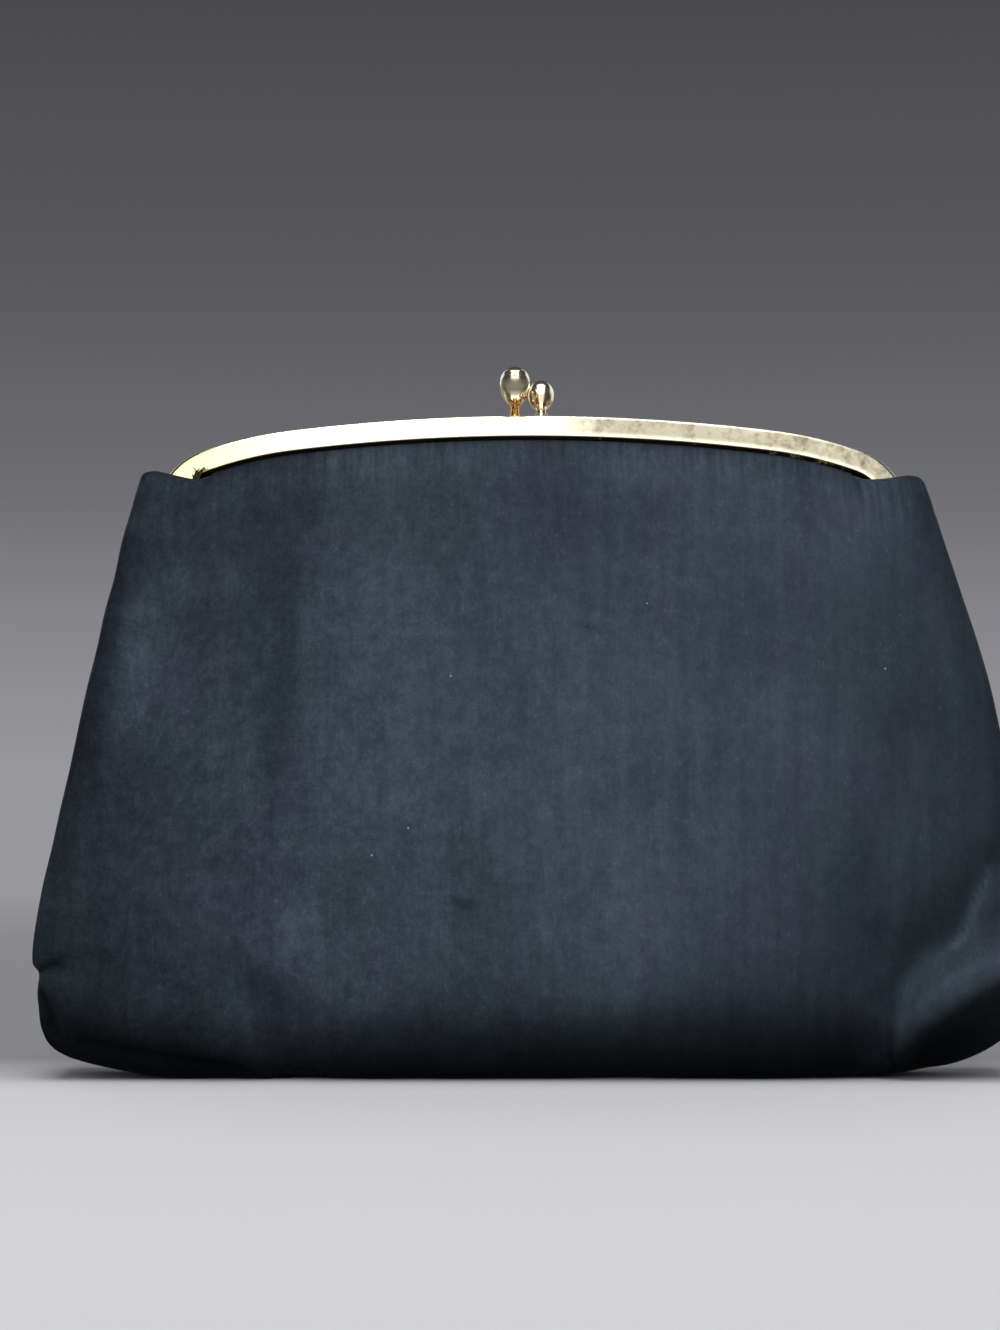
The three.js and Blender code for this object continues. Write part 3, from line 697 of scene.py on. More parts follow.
# %% Knob profiles
KNOBS = {
    "front": {"x": 2.2, "y": -2.6, "lean": 46.0, "reach": 6.3, "ball": 3.05, "gilt": 0.4, "dark_reflection": 0.15},
    "back": {"x": -3.85, "y": 2.6, "lean": 34.0, "reach": 8.1, "ball": 3.5, "gilt": 0.9, "dark_reflection": 0.6},
}
POST_RADIUS, SHANK_RADIUS, COLLAR_RADIUS, COLLAR_HEIGHT = 1.15, 0.9, 1.5, 0.3
TAIL_RADIUS, TAIL_HEIGHT, TAIL_CHAMFER = 1.4, 0.8, 0.15
PEAR = {
    "h": [-1.85, -1.62, -1.2, -0.78, -0.3, 0.06, 0.42, 0.74, 0.98],
    "r": [0.0, 0.44, 0.73, 0.9, 0.985, 1.0, 0.93, 0.74, 0.4],
}
PEAR_CAP = [(0.3, 1.015), (0.2, 1.036), (0.1, 1.047)]
PEAR_TOP = 1.05
HEAD_STEPS, CROWN_STEPS = 40, 8


def pear_profile(ball, reach):
    neck, shoulder, end = PEAR["h"][0], PEAR["h"][-2], PEAR["h"][-1]
    heights = [*np.linspace(neck, shoulder, HEAD_STEPS), *np.linspace(shoulder, end, CROWN_STEPS)[1:]]
    radii = along(PEAR["h"], [POST_RADIUS / ball, *PEAR["r"][1:]], heights)
    head = [(r * ball, reach + h * ball) for r, h in [*zip(radii, heights), *PEAR_CAP]]
    return [(0.0, 0.0), (POST_RADIUS, 0.0), *head, (0.0, reach + PEAR_TOP * ball)]


KNOB_TOP = FRAME_TOP_Z + FIT_GAP
KNOB_UNDER = FRAME_TOP_Z - FOLD_WALL - FIT_GAP
KNOB_NECK = KNOB_TOP + COLLAR_HEIGHT + POST_RADIUS
FOOT = [
    (0.0, KNOB_UNDER - TAIL_HEIGHT),
    (TAIL_RADIUS - TAIL_CHAMFER, KNOB_UNDER - TAIL_HEIGHT),
    (TAIL_RADIUS, KNOB_UNDER - TAIL_HEIGHT + TAIL_CHAMFER),
    (TAIL_RADIUS, KNOB_UNDER),
    (SHANK_RADIUS, KNOB_UNDER + 0.02),
    (SHANK_RADIUS, KNOB_TOP),
    (COLLAR_RADIUS, KNOB_TOP + 0.02),
    (COLLAR_RADIUS, KNOB_TOP + 0.2),
    (COLLAR_RADIUS - 0.12, KNOB_TOP + COLLAR_HEIGHT),
    (POST_RADIUS * 0.95, KNOB_TOP + COLLAR_HEIGHT + 0.06),
    (POST_RADIUS * 0.9, KNOB_NECK - 0.3),
    (POST_RADIUS * 0.6, KNOB_NECK),
    (0.0, KNOB_NECK + 0.05),
]
print("rows in the foot of a knob:", len(FOOT))

# %% Knobs
FOOT_GILT, NECK_GILT_FROM, NECK_GILT_FADE = 0.2, -0.75, 0.55
DARK_REFLECTION_PATCH = {"front": -0.3, "front_fade": 0.3, "high": 0.3, "low": -0.8, "fade": 0.25}

for half, knob in KNOBS.items():
    foot_points, foot_faces = lathe(FOOT)
    foot_points += (knob["x"], knob["y"], 0.0)
    head_points, head_faces = lathe(pear_profile(knob["ball"], knob["reach"]))
    share = (head_points[:, 2] - knob["reach"]) / knob["ball"]
    on_neck = smooth((NECK_GILT_FROM - share) / NECK_GILT_FADE)
    gilt = knob["gilt"] * np.concatenate([np.full(len(foot_points), FOOT_GILT), on_neck])
    lean = math.radians(math.copysign(knob["lean"], knob["y"]))
    tilt = np.array(Matrix.Rotation(lean, 3, "X"))
    head_points = head_points @ tilt.T
    facing = (head_points - tilt @ (0.0, 0.0, knob["reach"])) / knob["ball"]
    # Painted reflection: a dark patch on the lower front of each head, standing for the dark room that the
    # head mirrors.
    dim = smooth((DARK_REFLECTION_PATCH["front"] - facing[:, 1]) / DARK_REFLECTION_PATCH["front_fade"])
    dim = dim * smooth((DARK_REFLECTION_PATCH["high"] - facing[:, 2]) / DARK_REFLECTION_PATCH["fade"])
    dim = dim * smooth((facing[:, 2] - DARK_REFLECTION_PATCH["low"]) / DARK_REFLECTION_PATCH["fade"])
    grime = knob["dark_reflection"] * np.concatenate([np.zeros(len(foot_points)), dim])
    head_points += (knob["x"], knob["y"], KNOB_NECK - POST_RADIUS / 2)
    faces = foot_faces + [[i + len(foot_points) for i in face] for face in head_faces]
    mesh = bpy.data.meshes.new("knob")
    mesh.from_pydata((np.concatenate([foot_points, head_points]) * MM).tolist(), [], faces)
    piece = joined(f"kiss_knob_{half}", [mesh], metal["gilt_brass_knob"])
    carry(piece.data, gilt=gilt, grime=grime)
    settle(piece, "clasp_metal", f"clasp_knob_{half}")

# %% [markdown]
# ## Rivets
# The hinge rivets are plain turned pins, almost hidden between the panels. Their solids already have the
# right shape, so they stay and only get the knob metal.

# %% Rivets keep their solids
for node in ("hinge_rivet_left", "hinge_rivet_right"):
    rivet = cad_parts[node]
    for slot in rivet.material_slots:
        slot.material = metal["gilt_brass_knob"]
    print(node, [slot.material.name for slot in rivet.material_slots])

# %% [markdown]
# ## Pouch: the lay of a panel
# The pouch is two panels with a gusset at each side. Sewn panels like these take their shape from the frame
# at the top and from the weight at the bottom, so each panel is a lofted sheet: a column runs down from
# the frame, swells to the belly, turns under, and ends at the seam under the base. Across, the sheet goes
# round each side edge to the gusset. Short tables give the side outline, the shoulders and the lifted
# corners of the base. Folds are drawn as strokes, which are lines with a reach to either side.

# %% Sizes of the pouch
CLOTH = 1.0
EDGE_RADIUS = 2.2
BELLY_Z, BELLY_EDGE_DEPTH, BELLY_CROWN, CROWN_POWER = 28.0, 18.5, 5.2, 2.4
BASE_DEPTH, BASE_END_DEPTH = 9.0, 15.2
TUCK, SHOULDER_TUCK, TUCK_SHARE, SWELL = 3.4, 0.8, 0.1, 1.3
FACE_DEPTH, FACE_FADE = 6.2, 11.0
SHOULDER_HALF_WIDTH, SHOULDER_ROUND = 90.2, 2.6
CHANNEL_END_X, CHANNEL_END_FADE, CLOTH_TOP_IN_CHANNEL = 73.5, 1.6, 2.4
DEPTH_IN_CHANNEL = CHANNEL_DEPTH - CHANNEL_WALL - FIT_GAP
LAY_GAP = 0.05
DEPTH_ON_FRAME = CHANNEL_DEPTH + FIT_GAP + CLOTH + LAY_GAP
SEAM_GAP, GUSSET_GAP = 0.3, 0.08
SIDE_OUTLINE = {
    "z": [8, 25, 43, 62, 80, 99, 117, 130, 137],
    "left": [108.6, 112.6, 111.1, 107.2, 103.2, 99.2, 95.7, 92.2, 90.2],
    "right": [110.6, 114.4, 113.2, 110.2, 106.5, 101.7, 96.7, 92.6, 90.2],
}
SHOULDER_LINE = {
    "x": [73.5, 75.0, 76.5, 78.0, 80.5, 83.5, 86.5, 88.0],
    "left": [138.0, 137.2, 136.9, 137.0, 137.5, 138.2, 138.8, 138.6],
    "right": [138.0, 137.2, 136.9, 136.9, 137.0, 137.4, 137.8, 137.6],
}
BASE_ENDS = {"start": {"left": 0.6, "right": 0.68}, "height": {"left": 9.0, "right": 21.0}}
CORNER_ON_FACE, CORNER_ON_EDGE = 0.7, 0.3
print("rows in the side outline:", len(SIDE_OUTLINE["z"]))

# %% Columns and rows of a panel
FACE_COLUMNS, EDGE_COLUMNS = 98, 7
TUCK_ROWS, WALL_ROWS, TURN_ROWS, BASE_ROWS = 4, 112, 46, 8
QUARTER = math.pi / 2

side_u = np.concatenate([np.arange(1, FACE_COLUMNS + 1) / FACE_COLUMNS, np.ones(EDGE_COLUMNS)])
side_turn = np.concatenate([np.zeros(FACE_COLUMNS), np.arange(1, EDGE_COLUMNS + 1) / EDGE_COLUMNS])
u = np.concatenate([side_u[::-1], [0.0], side_u])
turn = np.concatenate([side_turn[::-1], [0.0], side_turn]) * QUARTER
end = np.concatenate([-np.ones(len(side_u)), np.ones(len(side_u) + 1)])
PANEL_ROWS = [("wall", t) for t in np.linspace(0.0, TUCK_SHARE, TUCK_ROWS)]
PANEL_ROWS += [("wall", t) for t in np.linspace(TUCK_SHARE, 1.0, WALL_ROWS + 1)[1:]]
PANEL_ROWS += [("turn", t) for t in np.linspace(0.0, 1.0, TURN_ROWS + 1)[1:]]
PANEL_ROWS += [("base", t) for t in np.linspace(0.0, 1.0, BASE_ROWS + 1)[1:]]
print("columns:", len(u), "rows:", len(PANEL_ROWS))


# %% Strokes
def stroke_height(row, x, z):
    """Height of a stroke at each place. Its row has its reach to the left and to the right, its height, its
    sharpness and the (x, z) points of its line."""
    left, right, height, power, *line = row
    best = np.full(x.shape, np.inf)
    to_right = np.zeros(x.shape)
    for (x0, z0), (x1, z1) in zip(line, line[1:]):
        dx, dz = x1 - x0, z1 - z0
        t = np.clip(((x - x0) * dx + (z - z0) * dz) / (dx * dx + dz * dz), 0.0, 1.0)
        away = np.hypot(x - x0 - t * dx, z - z0 - t * dz)
        side = (x - x0) * dz - (z - z0) * dx
        to_right = np.where(away < best, side > 0, to_right)
        best = np.minimum(best, away)
    reach = np.where(to_right > 0, right, left)
    return height * np.exp(-((best / reach) ** power))


tried = stroke_height((2, 3, 1.0, 2, (0, 0), (0, 9)), np.linspace(-4, 4, 5), np.full(5, 4.0))
print("heights across a stroke:", np.round(tried, 3))

# %% Loft of a panel
FOLD_TOP_FADE, FOLD_BASE_FADE = 12, 6


def by_end(left, right):
    """Takes the left value on the columns left of the middle, and the right one on the others."""
    return np.where(end < 0, left, right)


def table_by_end(table, key, at):
    return by_end(*(along(table[key], table[side], at) for side in ("left", "right")))


def half_width(z):
    return table_by_end(SIDE_OUTLINE, "z", z)


def panel_loft(folds):
    """Points of a panel's outer side, facing -Y, and the drop of each below the top edge."""
    back = EDGE_RADIUS * (1 - np.cos(turn))
    around = EDGE_RADIUS * np.sin(turn)
    top_x = u * (SHOULDER_HALF_WIDTH - EDGE_RADIUS) + around
    in_channel = top_x < CHANNEL_END_X
    shoulder = table_by_end(SHOULDER_LINE, "x", top_x) - SHOULDER_ROUND * (1 - np.cos(turn))
    top_z = np.where(in_channel, arch_z(top_x, CLOTH_TOP_IN_CHANNEL), shoulder)
    on_frame = smooth((top_x - CHANNEL_END_X) / CHANNEL_END_FADE)
    press = mix(DEPTH_IN_CHANNEL, DEPTH_ON_FRAME, on_frame) - FACE_DEPTH
    tuck = np.where(in_channel, TUCK, SHOULDER_TUCK)
    span = top_z - tuck - BELLY_Z
    belly = BELLY_EDGE_DEPTH + BELLY_CROWN * (1 - u**CROWN_POWER)
    start, height = by_end(**BASE_ENDS["start"]), by_end(**BASE_ENDS["height"])
    corner = (u - start) / (1 - start) * CORNER_ON_FACE + turn / QUARTER * CORNER_ON_EDGE
    corner = np.clip(corner, 0.0, 1.0)
    base_z = height * (1 - np.cos(corner * QUARTER))
    base_depth = mix(BASE_DEPTH, BASE_END_DEPTH + back, corner)
    belly_x = u * (half_width(BELLY_Z) - EDGE_RADIUS) + around
    start_x = start * (half_width(BELLY_Z) - EDGE_RADIUS)
    end_x = mix(start_x, half_width(height), np.sin(corner * QUARTER))
    base_x = np.where(u < start, u / start * start_x, end_x)

    grid, drop = [], []
    for part, t in PANEL_ROWS:
        if part == "wall":
            below_tuck = max(0.0, (t - TUCK_SHARE) / (1 - TUCK_SHARE))
            z = top_z - tuck * min(1.0, t / TUCK_SHARE) - span * below_tuck
            lift = np.clip((z - BELLY_Z) / span, 0.0, 1.0)
            below = np.maximum(0.0, top_z - tuck - z)
            depth = mix(belly, FACE_DEPTH, lift**SWELL) + press * (1 - smooth(below / FACE_FADE))
            x = u * (half_width(z) - EDGE_RADIUS) + around
        else:
            angle = t * QUARTER if part == "turn" else QUARTER
            z = mix(base_z, BELLY_Z, 1 - math.sin(angle))
            depth = mix(base_depth, belly, math.cos(angle))
            x = mix(base_x, belly_x, math.cos(angle))
            if part == "base":
                depth = mix(base_depth, SEAM_GAP / 2 + back, t)
        calm = smooth((top_z - z) / FOLD_TOP_FADE) * (1 - t if part == "base" else 1.0)
        calm = calm * smooth(z / FOLD_BASE_FADE)
        depth = depth + sum(stroke_height(fold, end * x, z) for fold in folds) * calm - back
        grid.append(np.stack([end * x, -depth, z], axis=-1))
        drop.append(top_z - z)
    return np.array(grid), np.array(drop)


print("half widths at the belly in mm:", np.round(half_width(BELLY_Z)[[0, -1]], 1))

# %% [markdown]
# ## Pouch: folds, puckers and slack
# A bag that has been carried has creases where it was pressed, pinches where the seams pull, and slack
# between. They are real shapes, so they move the mesh: each fold is a stroke, with a reach on either side,
# a height, a sharpness and a line. The main folds bend the loft, and the creases push the cloth along its
# own normal, so a crease near the side edge also shows in the outline. Puckers run down from the frame,
# where the cloth is gathered into the channel.

# %% Folds
MAIN_FOLDS = {
    "front": [
        (6, 6, -1.7, 2, (-66, 44), (-57, 8)),
        (7, 7, 1.0, 2, (-76, 32), (-70, 6)),
        (3.2, 3.2, -1.4, 2, (-112, 24.5), (-98, 27)),
        (6, 6, 1.0, 2, (-106, 17), (-84, 15)),
        (6, 6, -2.6, 2, (76, 10), (106, 46)),
        (6, 6, 1.6, 2, (86, 8), (112, 31)),
        (22, 22, -1.0, 2, (-75, 85), (-70, 60)),
        (26, 26, 0.8, 2, (20, 75), (30, 60)),
    ],
    "back": [
        (7, 7, -1.4, 2, (62, 44), (56, 8)),
        (7, 7, -2.0, 2, (-76, 10), (-104, 44)),
        (30, 30, 0.8, 2, (0, 80), (10, 50)),
    ],
}
CREASES = {
    "front": [
        (1.0, 1.2, -1.1, 2, (-113, 24.3), (-107.7, 26.8)),
        (1.2, 1.2, -1.0, 2, (-112.5, 22.9), (-109.5, 17.8), (-108.4, 12.3)),
        (2.6, 2.6, 0.9, 2, (-108.8, 22.9), (-107.6, 21.6)),
        (4.5, 4.5, -0.8, 2, (-113, 19), (-110, 14)),
        (4.5, 1.1, -1.6, 1.4, (-102, 8.4), (-97.8, 7.6), (-90.5, 6.2), (-79.7, 4.2), (-68.4, 2.1)),
        (1.5, 9.0, 0.7, 2, (-69.3, 33), (-68.3, 29.2), (-64.7, 20.2), (-62, 12.5), (-60.2, 5.3)),
        (10, 2.2, -0.7, 2, (-65, 30), (-61, 19), (-57, 6)),
        (2.5, 2.5, -0.4, 2, (-47.9, 16.3), (-45, 4.4)),
        (1.3, 1.3, 0.3, 2, (18.2, 24), (18.2, 4.4)),
        (8.5, 0.9, -1.7, 1.4, (80.6, 9), (80.8, 18.4), (87, 28.5), (98, 33.7), (104.8, 47.2)),
        (2.2, 4, 1.8, 2, (82.8, 6), (83.6, 12), (89, 18.5), (96.4, 23), (110, 29)),
        (1.0, 1.6, 0.8, 2, (95.5, 31), (98.2, 34.2), (102.3, 43.5), (104.5, 48)),
        (4, 5, -1.7, 2, (86, 4), (92, 7.5), (100, 11.0), (112, 16)),
        (1.2, 1.2, -0.45, 2, (77.3, 11.8), (77.3, 6)),
    ],
    "back": [
        (3.0, 7.0, -1.4, 1.5, (104, 30), (92, 26), (80, 12)),
        (1.8, 1.8, -1.3, 2, (-110, 24), (-100, 27)),
        (1.6, 8.0, 0.6, 2, (58, 28), (52, 6)),
        (2.4, 2.4, -0.5, 2, (-30, 18), (-33, 5)),
    ],
}
print("creases:", {half: len(folds) for half, folds in CREASES.items()})


# %% Puckers and slack
PUCKERS = [
    {"pitch": 3.2, "height": 0.12, "fade": 9.0},
    {"pitch": 8.0, "height": 0.25, "fade": 26.0},
]
SLACK = [
    {"wave": 46.0, "height": 0.30},
    {"wave": 19.0, "height": 0.09},
]
SEEDS = {"front": 11, "back": 23}
PUCKER_SPAN, WAVE_COUNT, WAVE_STRETCH = 130.0, 9, (0.75, 1.4)
PUCKER_START, SLACK_START, RELIEF_START = 3.0, 20.0, 2.0


def random_curve(x, pitch, chance):
    """Smooth random curve with a bump about every pitch."""
    knots = np.arange(-PUCKER_SPAN, PUCKER_SPAN, pitch)
    return along(knots, chance.uniform(-1, 1, len(knots)), x)


def random_waves(x, z, wave, chance):
    """Sum of a few waves in random directions."""
    total = 0.0
    for _ in range(WAVE_COUNT):
        angle, phase = chance.uniform(0, 2 * math.pi, 2)
        length = wave * chance.uniform(*WAVE_STRETCH)
        way = x * math.cos(angle) + z * math.sin(angle)
        total = total + np.sin(2 * math.pi * way / length + phase)
    return total / math.sqrt(WAVE_COUNT)


def relief_of(half, x, z, drop):
    """How far creases, puckers and slack push each point outwards."""
    chance = np.random.default_rng(SEEDS[half])
    below = np.maximum(0.0, drop - TUCK)
    height = sum(stroke_height(crease, x, z) for crease in CREASES[half])
    for row in PUCKERS:
        waves = random_curve(x, row["pitch"], chance)
        height = height + row["height"] * waves * np.exp(-below / row["fade"]) * smooth(below / PUCKER_START)
    for row in SLACK:
        waves = random_waves(x, z, row["wave"], chance)
        height = height + row["height"] * waves * smooth(below / SLACK_START)
    return height * smooth(below / RELIEF_START)


print("puckers:", PUCKERS)

# %% [markdown]
# ## Pouch: making the cloth
# A sheet has two sides. The outer grid is moved inwards by the cloth's thickness, square to the seams, and
# both grids are closed by a rim, so the piece is a real thin wall. Each point also gets its place on the
# flat cloth for the weave, and its tone: handling pales the middle of a panel, and the creases, the side
# edges and the turned-under base are darkened as painted shade.

# %% Inner side of a cloth wall
SEWN_LEAN, TINY = 0.5, 1e-9


def unit(vectors):
    return vectors / np.maximum(np.linalg.norm(vectors, axis=-1, keepdims=True), TINY)


def grid_normals(grid):
    return unit(np.cross(np.gradient(grid, axis=0), np.gradient(grid, axis=1)))


def inner_layer(grid, side, seam_row):
    """The grid moved inwards by the cloth's thickness, square to the seams along its sewn edges."""
    out = side * grid_normals(grid)
    sewn = np.zeros(grid.shape[:2], bool)
    sewn[:, [0, -1]] = True
    out[sewn, 1] = 0.0
    out[seam_row:, [0, -1], 2] = 0.0
    if seam_row == len(grid) - 1:
        sewn[-2:] = True
        out[-1, :, 2] = 0.0
    out[sewn, 0] = np.copysign(np.maximum(np.abs(out[sewn, 0]), SEWN_LEAN), grid[sewn, 0])
    return grid - CLOTH * unit(out)


print("cloth thickness in mm:", CLOTH)


# %% Cloth piece
def cloth_piece(name, grid, side, seam_row, warp, faded):
    """A closed cloth wall from its outer grid, with its place on the flat cloth, and its fading and painted
    shade.
    """
    rows, cols = grid.shape[:2]
    layer = rows * cols
    index = np.arange(layer).reshape(rows, cols)
    quads = np.stack([index[:-1, :-1], index[1:, :-1], index[1:, 1:], index[:-1, 1:]], axis=-1).reshape(-1, 4)
    rim = np.concatenate([index[0, :-1], index[:-1, -1], index[-1, :0:-1], index[:0:-1, 0]])
    after = np.roll(rim, -1)
    walls = np.stack([rim, after, after + layer, rim + layer], axis=-1)
    faces = np.concatenate([quads, quads[:, ::-1] + layer, walls])
    if side < 0:
        faces = faces[:, ::-1]
    points = np.concatenate([grid.reshape(-1, 3), inner_layer(grid, side, seam_row).reshape(-1, 3)])
    mesh = bpy.data.meshes.new(name)
    mesh.from_pydata((points * MM).tolist(), [], faces.tolist())
    mesh.shade_smooth()
    chart = mesh.uv_layers.new(name="warp")
    place = np.tile(warp.reshape(-1, 2) * MM, (2, 1))
    chart.data.foreach_set("uv", place[faces.ravel()].ravel())
    carry(mesh, faded=np.tile(faded.ravel(), 2))
    mesh.materials.append(faille)
    return placed(name, mesh)


print("every cloth piece has the material", faille.name)


# %% Lengths and areas of the flat cloth
def length_along(grid, axis):
    """Length of cloth from the first row or column to each point."""
    steps = np.linalg.norm(np.diff(grid, axis=axis), axis=-1)
    return np.insert(np.cumsum(steps, axis=axis), 0, 0.0, axis=axis)


def flat_place(grid, shift=0.0):
    """Place of each point on the flat cloth: across the warp from the middle column, and down the warp."""
    across = length_along(grid, 1)
    across = across - across[:, [grid.shape[1] // 2]] + shift
    return np.stack([across, -length_along(grid, 0)], axis=-1)


def cloth_area(grid):
    down = np.diff(grid, axis=0)[:, :-1]
    over = np.diff(grid, axis=1)[:-1]
    return np.linalg.norm(np.cross(down, over), axis=-1).sum() * MM * MM


swatch = np.array([[(0, 0, 0), (30, 0, 0)], [(0, 0, 40), (30, 0, 40)]])
print("30 x 40 mm of cloth in square metres:", cloth_area(swatch))

# %% [markdown]
# ## Frayed threads
# Where the channel ends on the left, a few warp threads have come loose from the cut edge of the cloth. A
# thread is a thin round line that tapers to its tip, so each is a curve with a small bevel.

# %% Frayed threads
FRAY = {"x": -77.0, "y": -6.15, "z": 136.6, "threads": 14, "width": 0.8, "length": 4.0, "radius": 0.24}
THREAD = {"steps": 5, "lean": 42, "bow": 0.5, "bend": 0.4, "shortest": 0.35, "forward": 0.1, "taper": 0.68}
FIBRE = 0.5

frayed, tree = blank_material("frayed_silk_thread")
spot = add(tree, "TexCoord").outputs["Object"]
twist = add(tree, "TexNoise", {"Vector": spot, "Scale": 1 / (FIBRE * MM)})
tone = add(tree, "ValToRGB", {"Fac": twist})
ramp_stops(tone, {0.3: "#0f0b08", 0.7: "#332619"})
fibre = add(tree, "BsdfPrincipled", {"Base Color": tone, "Roughness": 0.8})
add(tree, "OutputMaterial", {"Surface": fibre})

chance = np.random.default_rng(5)
tuft = bpy.data.curves.new("tuft", "CURVE")
tuft.dimensions = "3D"
tuft.bevel_depth = FRAY["radius"] * MM
tuft.bevel_resolution = 1
tuft.use_fill_caps = True
for _ in range(FRAY["threads"]):
    root = np.array([FRAY["x"] + FRAY["width"] * chance.uniform(-1, 1), FRAY["y"], FRAY["z"]])
    lean = np.radians(chance.uniform(-THREAD["lean"], THREAD["lean"]))
    bow = chance.uniform(-THREAD["bow"], THREAD["bow"])
    length = FRAY["length"] * chance.uniform(THREAD["shortest"], 1.0)
    thread = tuft.splines.new("POLY")
    thread.points.add(THREAD["steps"])
    for i, point in enumerate(thread.points):
        t = i / THREAD["steps"]
        aside = math.sin(lean * t) + bow * t * t * THREAD["bend"]
        reach = np.array([aside, -THREAD["forward"] * t, math.cos(lean * t)])
        point.co = (*((root + length * t * reach) * MM), 1.0)
        point.radius = 1.0 - THREAD["taper"] * t
threads = joined("frayed_threads", [baked(placed("tuft", tuft))], frayed)
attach(threads, "root")
print("threads:", FRAY["threads"])

# %% [markdown]
# ## Front and back panels
# Wear and painted light and shade are drawn with the same strokes as the folds: a stroke below zero darkens
# the dye, and one above zero lightens it. The dark strokes by the side edges, under the frame and along the
# creases are painted shade, the light ones on lobes and crease edges are painted highlights, and the rest is
# wear. The base is darkened as painted shade, more the lower it is, where it turns under.

# %% Wear and painted shading
# Painted shade and painted highlights, mixed with wear, drawn as strokes.
WEAR_AND_PAINTED_SHADING = {
    "front": [
        (40, 43, -0.3, 12, (-114, 15), (-106, 40), (-92, 64), (-92, 132)),
        (18, 18, -0.18, 3, (-76, 120), (-68, 134)),
        (14, 23, -0.27, 2, (-50, 131), (2, 133)),
        (16, 13, -0.36, 2, (-101, 10), (-98, 58), (-102, 72)),
        (6, 5, -0.2, 2, (-57, 66), (-57, 114)),
        (13, 9, -0.18, 2, (-106, 24), (-80, 30)),
        (38, 30, -0.34, 2.5, (112, 15), (102, 135)),
        (12, 12, 0.25, 2, (68, 124), (80, 132)),
        (20, 20, 0.18, 2, (28, 50), (34, 82)),
        (6, 6, 0.13, 2, (5.5, 60), (5.5, 104)),
        (24, 12, -0.22, 3, (62, 6), (70, 30)),
        (11, 10, -0.25, 2, (70, 31), (88, 37)),
        (4.5, 3.2, 0.9, 2, (79, 3), (79.6, 13)),
        (6, 5, 0.22, 2, (72, 15), (78, 22)),
        (0.7, 3, 0.26, 2, (81.8, 8), (81.9, 15.5), (85.2, 22), (91, 28), (95, 30.5)),
        (2.5, 2.5, -0.35, 2, (104, 37.5), (108, 40)),
        (10, 10, -0.18, 2, (26, 14), (58, 14)),
        (8, 8, 0.16, 2, (-9, 11), (6, 17)),
        (5, 5, 0.16, 2, (18, 4), (19, 20)),
        (6, 6, 0.25, 2, (-46, 5), (-43, 14)),
        (13, 13, -0.14, 2, (28, 102), (50, 100)),
        (10, 9, -0.16, 2, (-19, 20), (-9, 46)),
        (12, 13, -0.2, 2, (78, 50), (84, 78)),
        (3, 10, -0.76, 3, (84, 5), (89, 9), (96, 14.5), (105, 20.5), (114, 24)),
        (9, 2.5, -0.12, 2, (76, 8), (79, 20), (86, 31), (97, 38), (103, 48)),
        (2.4, 4, 0.62, 2, (83.5, 6), (84.5, 12), (90, 18.5), (97, 23), (112, 30)),
        (0.8, 1.1, 0.75, 2, (95.3, 30.6), (98, 34), (102.3, 43.5), (104, 47)),
        (1.4, 1.0, -0.4, 1.5, (-102, 8.4), (-90.5, 6.2), (-68.4, 2.1)),
        (6, 8, 0.6, 2, (-68, 10), (-53, 8)),
        (7, 7, 0.2, 2, (-58, 31), (-54, 36)),
        (7, 8, -0.2, 2, (-41, 38), (-41, 52)),
        (6, 6, 0.35, 2, (-85, 12), (-74, 8)),
        (0.6, 0.6, -0.6, 2, (-113, 24.4), (-107.7, 26.8)),
        (0.8, 0.8, -0.4, 2, (-112.3, 22.5), (-110, 17.8), (-108.6, 12.5)),
        (2, 2, 0.35, 2, (-109.5, 22.8), (-106.5, 21.8)),
        (4.2, 4.2, 0.45, 2, (-80, 113), (-80, 115)),
        (2.4, 2.4, 0.4, 2, (-68.5, 112), (-68.5, 114)),
        (3, 8, 0.42, 2, (-93.5, 84), (-90.5, 106)),
        (6, 3.2, -0.36, 2, (-103, 74), (-100, 86), (-98, 102), (-95.5, 122)),
        (9, 8, 0.2, 2, (-61, 40), (-66, 70)),
        (13, 13, 0.1, 2, (-30, 65), (-30, 110)),
        (5, 6, -0.32, 2, (-68, 27), (-58, 20)),
        (2.2, 2.2, 0.12, 2, (20.5, 12), (20.5, 46)),
        (2.5, 2.5, 0.1, 2, (-52, 50), (-51, 105)),
        (0.9, 0.9, -0.3, 2, (-17.6, 41.5), (-15.5, 39.5), (-13.2, 40.6)),
        (0.9, 0.9, -0.3, 2, (12, 103), (15.3, 102.3)),
    ],
    "back": [
        (40, 30, -0.28, 4, (-105, 20), (-95, 130)),
        (32, 30, -0.3, 3, (108, 15), (96, 135)),
        (16, 16, 0.14, 2, (60, 60), (60, 80)),
        (8, 8, 0.16, 2, (-70, 95), (-70, 115)),
    ],
}
# Painted shade: the cloth darkens towards the bottom, by height in mm, where the base turns under.
BASE_SHADE = {"z": [0, 3, 6.5, 10, 13, 16, 22, 30], "tone": [0.06, 0.08, 0.14, 0.24, 0.38, 0.57, 0.85, 1.0]}
print("strokes of wear:", {half: len(strokes) for half, strokes in WEAR_AND_PAINTED_SHADING.items()})

# %% Front and back panels
# Painted shade in the crease valleys and painted highlight on the ridges, by how far the cloth is pushed.
CREASE_PAINTED_SHADING, CREASE_DEEP, CREASE_HIGH = 0.14, -2, 0.5
# Painted shade along the side edges, where the cloth turns away from the light.
EDGE_PAINTED_SHADE, EDGE_SHARE = 0.3, 0.07
SEAM_ROW = TUCK_ROWS + WALL_ROWS + TURN_ROWS - 1
SEWN_CALM_Z, SEWN_CALM_FADE, SEWN_CALM_TURN = 12.0, 6, 0.8

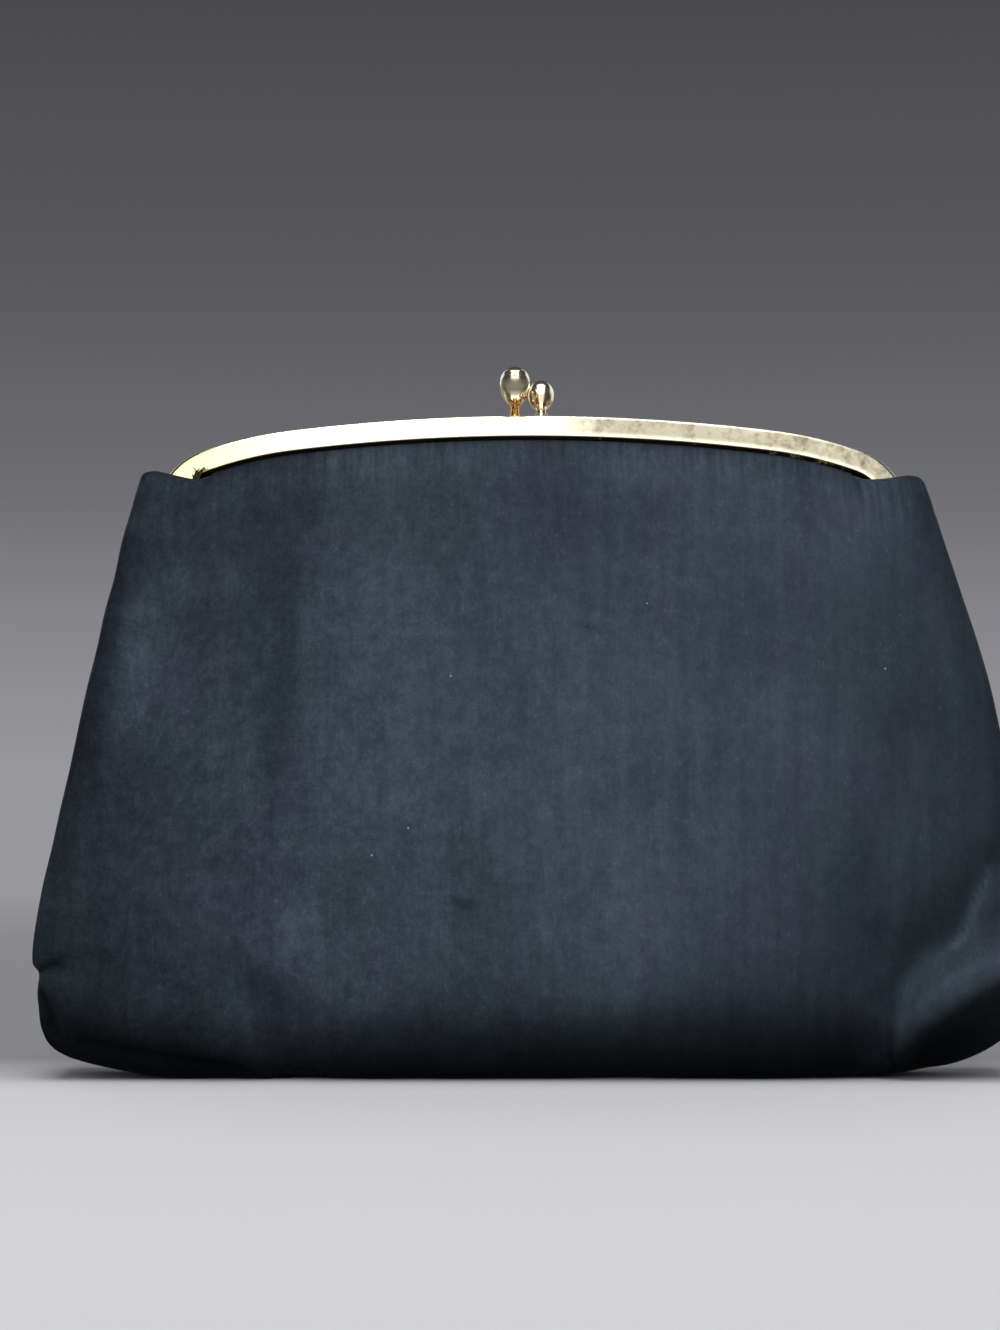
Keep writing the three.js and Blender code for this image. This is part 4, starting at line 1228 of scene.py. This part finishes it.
edges = {}
for half, side in (("front", 1), ("back", -1)):
    grid, drop = panel_loft(MAIN_FOLDS[half])
    x, z = grid[..., 0], grid[..., 2]
    on_base = np.array([1 - t if part == "base" else 1.0 for part, t in PANEL_ROWS])[:, None]
    sewn_z = np.maximum(by_end(**BASE_ENDS["height"]), SEWN_CALM_Z)
    calm = mix(1.0, smooth((z - sewn_z) / SEWN_CALM_FADE), smooth(turn / SEWN_CALM_TURN))
    push = relief_of(half, x, z, drop) * on_base * calm
    grid = grid + push[..., None] * grid_normals(grid)
    grid[..., 2] = np.maximum(grid[..., 2], 0.0)
    faded = along(BASE_SHADE["z"], BASE_SHADE["tone"], z)
    faded = faded * (1 + CREASE_PAINTED_SHADING * np.clip(push, CREASE_DEEP, CREASE_HIGH))
    faded = faded * (1 - EDGE_PAINTED_SHADE * smooth((u - 1 + EDGE_SHARE) / EDGE_SHARE))
    for row in WEAR_AND_PAINTED_SHADING[half]:
        faded = faded * (1 + on_base * stroke_height(row, x, z))
    if side < 0:
        grid[..., 1] *= -1
    edges[half] = {-1: grid[:, 0], 1: grid[:, -1]}
    piece = cloth_piece(f"faille_{half}", grid, side, SEAM_ROW, flat_place(grid), faded)
    settle(piece, "cloth", f"{half}_panel")

# %% [markdown]
# ## Gussets
# A gusset is the strip that lets the bag open. While the bag is shut it folds inwards down its middle, and
# its two edges are sewn to the side edges of the panels. So it is lofted between those edges, and sinks by
# a table of depth by height. The seams are drawn almost shut, so that no light shows through them.

# %% Gussets
GUSSET_FOLD = {"z": [8, 18, 30, 60, 100, 138], "depth": [0.0, 0.6, 2.6, 6.2, 5.6, 2.8]}
GUSSET_COLUMNS = 40
GUSSET_TONE, GUSSET_FOLD_SHADE = 0.7, 0.4
GUSSET_CHART_X = 320.0

share = np.linspace(0.0, 1.0, GUSSET_COLUMNS + 1)
folded = (1 - np.cos(2 * math.pi * share)) / 2
inset = np.array([0.0, GUSSET_GAP, 0.0])
for name, end_side in (("left", -1), ("right", 1)):
    front_edge = edges["front"][end_side][: SEAM_ROW + 1]
    back_edge = edges["back"][end_side][: SEAM_ROW + 1]
    grid = mix((front_edge + inset)[:, None], (back_edge - inset)[:, None], share[None, :, None])
    sink = along(GUSSET_FOLD["z"], GUSSET_FOLD["depth"], front_edge[:, 2])[:, None]
    grid[..., 0] -= end_side * sink * folded
    grid[-1, :, 2] += SEAM_GAP
    warp = flat_place(grid, end_side * GUSSET_CHART_X)
    # Painted shade: the gusset is darker down the middle of its inward fold, and towards the bottom.
    faded = mix(GUSSET_TONE, GUSSET_FOLD_SHADE, folded)[None, :]
    faded = faded * along(BASE_SHADE["z"], BASE_SHADE["tone"], grid[..., 2])
    piece = cloth_piece(f"faille_gusset_{name}", grid, end_side, SEAM_ROW, warp, faded)
    settle(piece, "cloth", f"gusset_{name}")
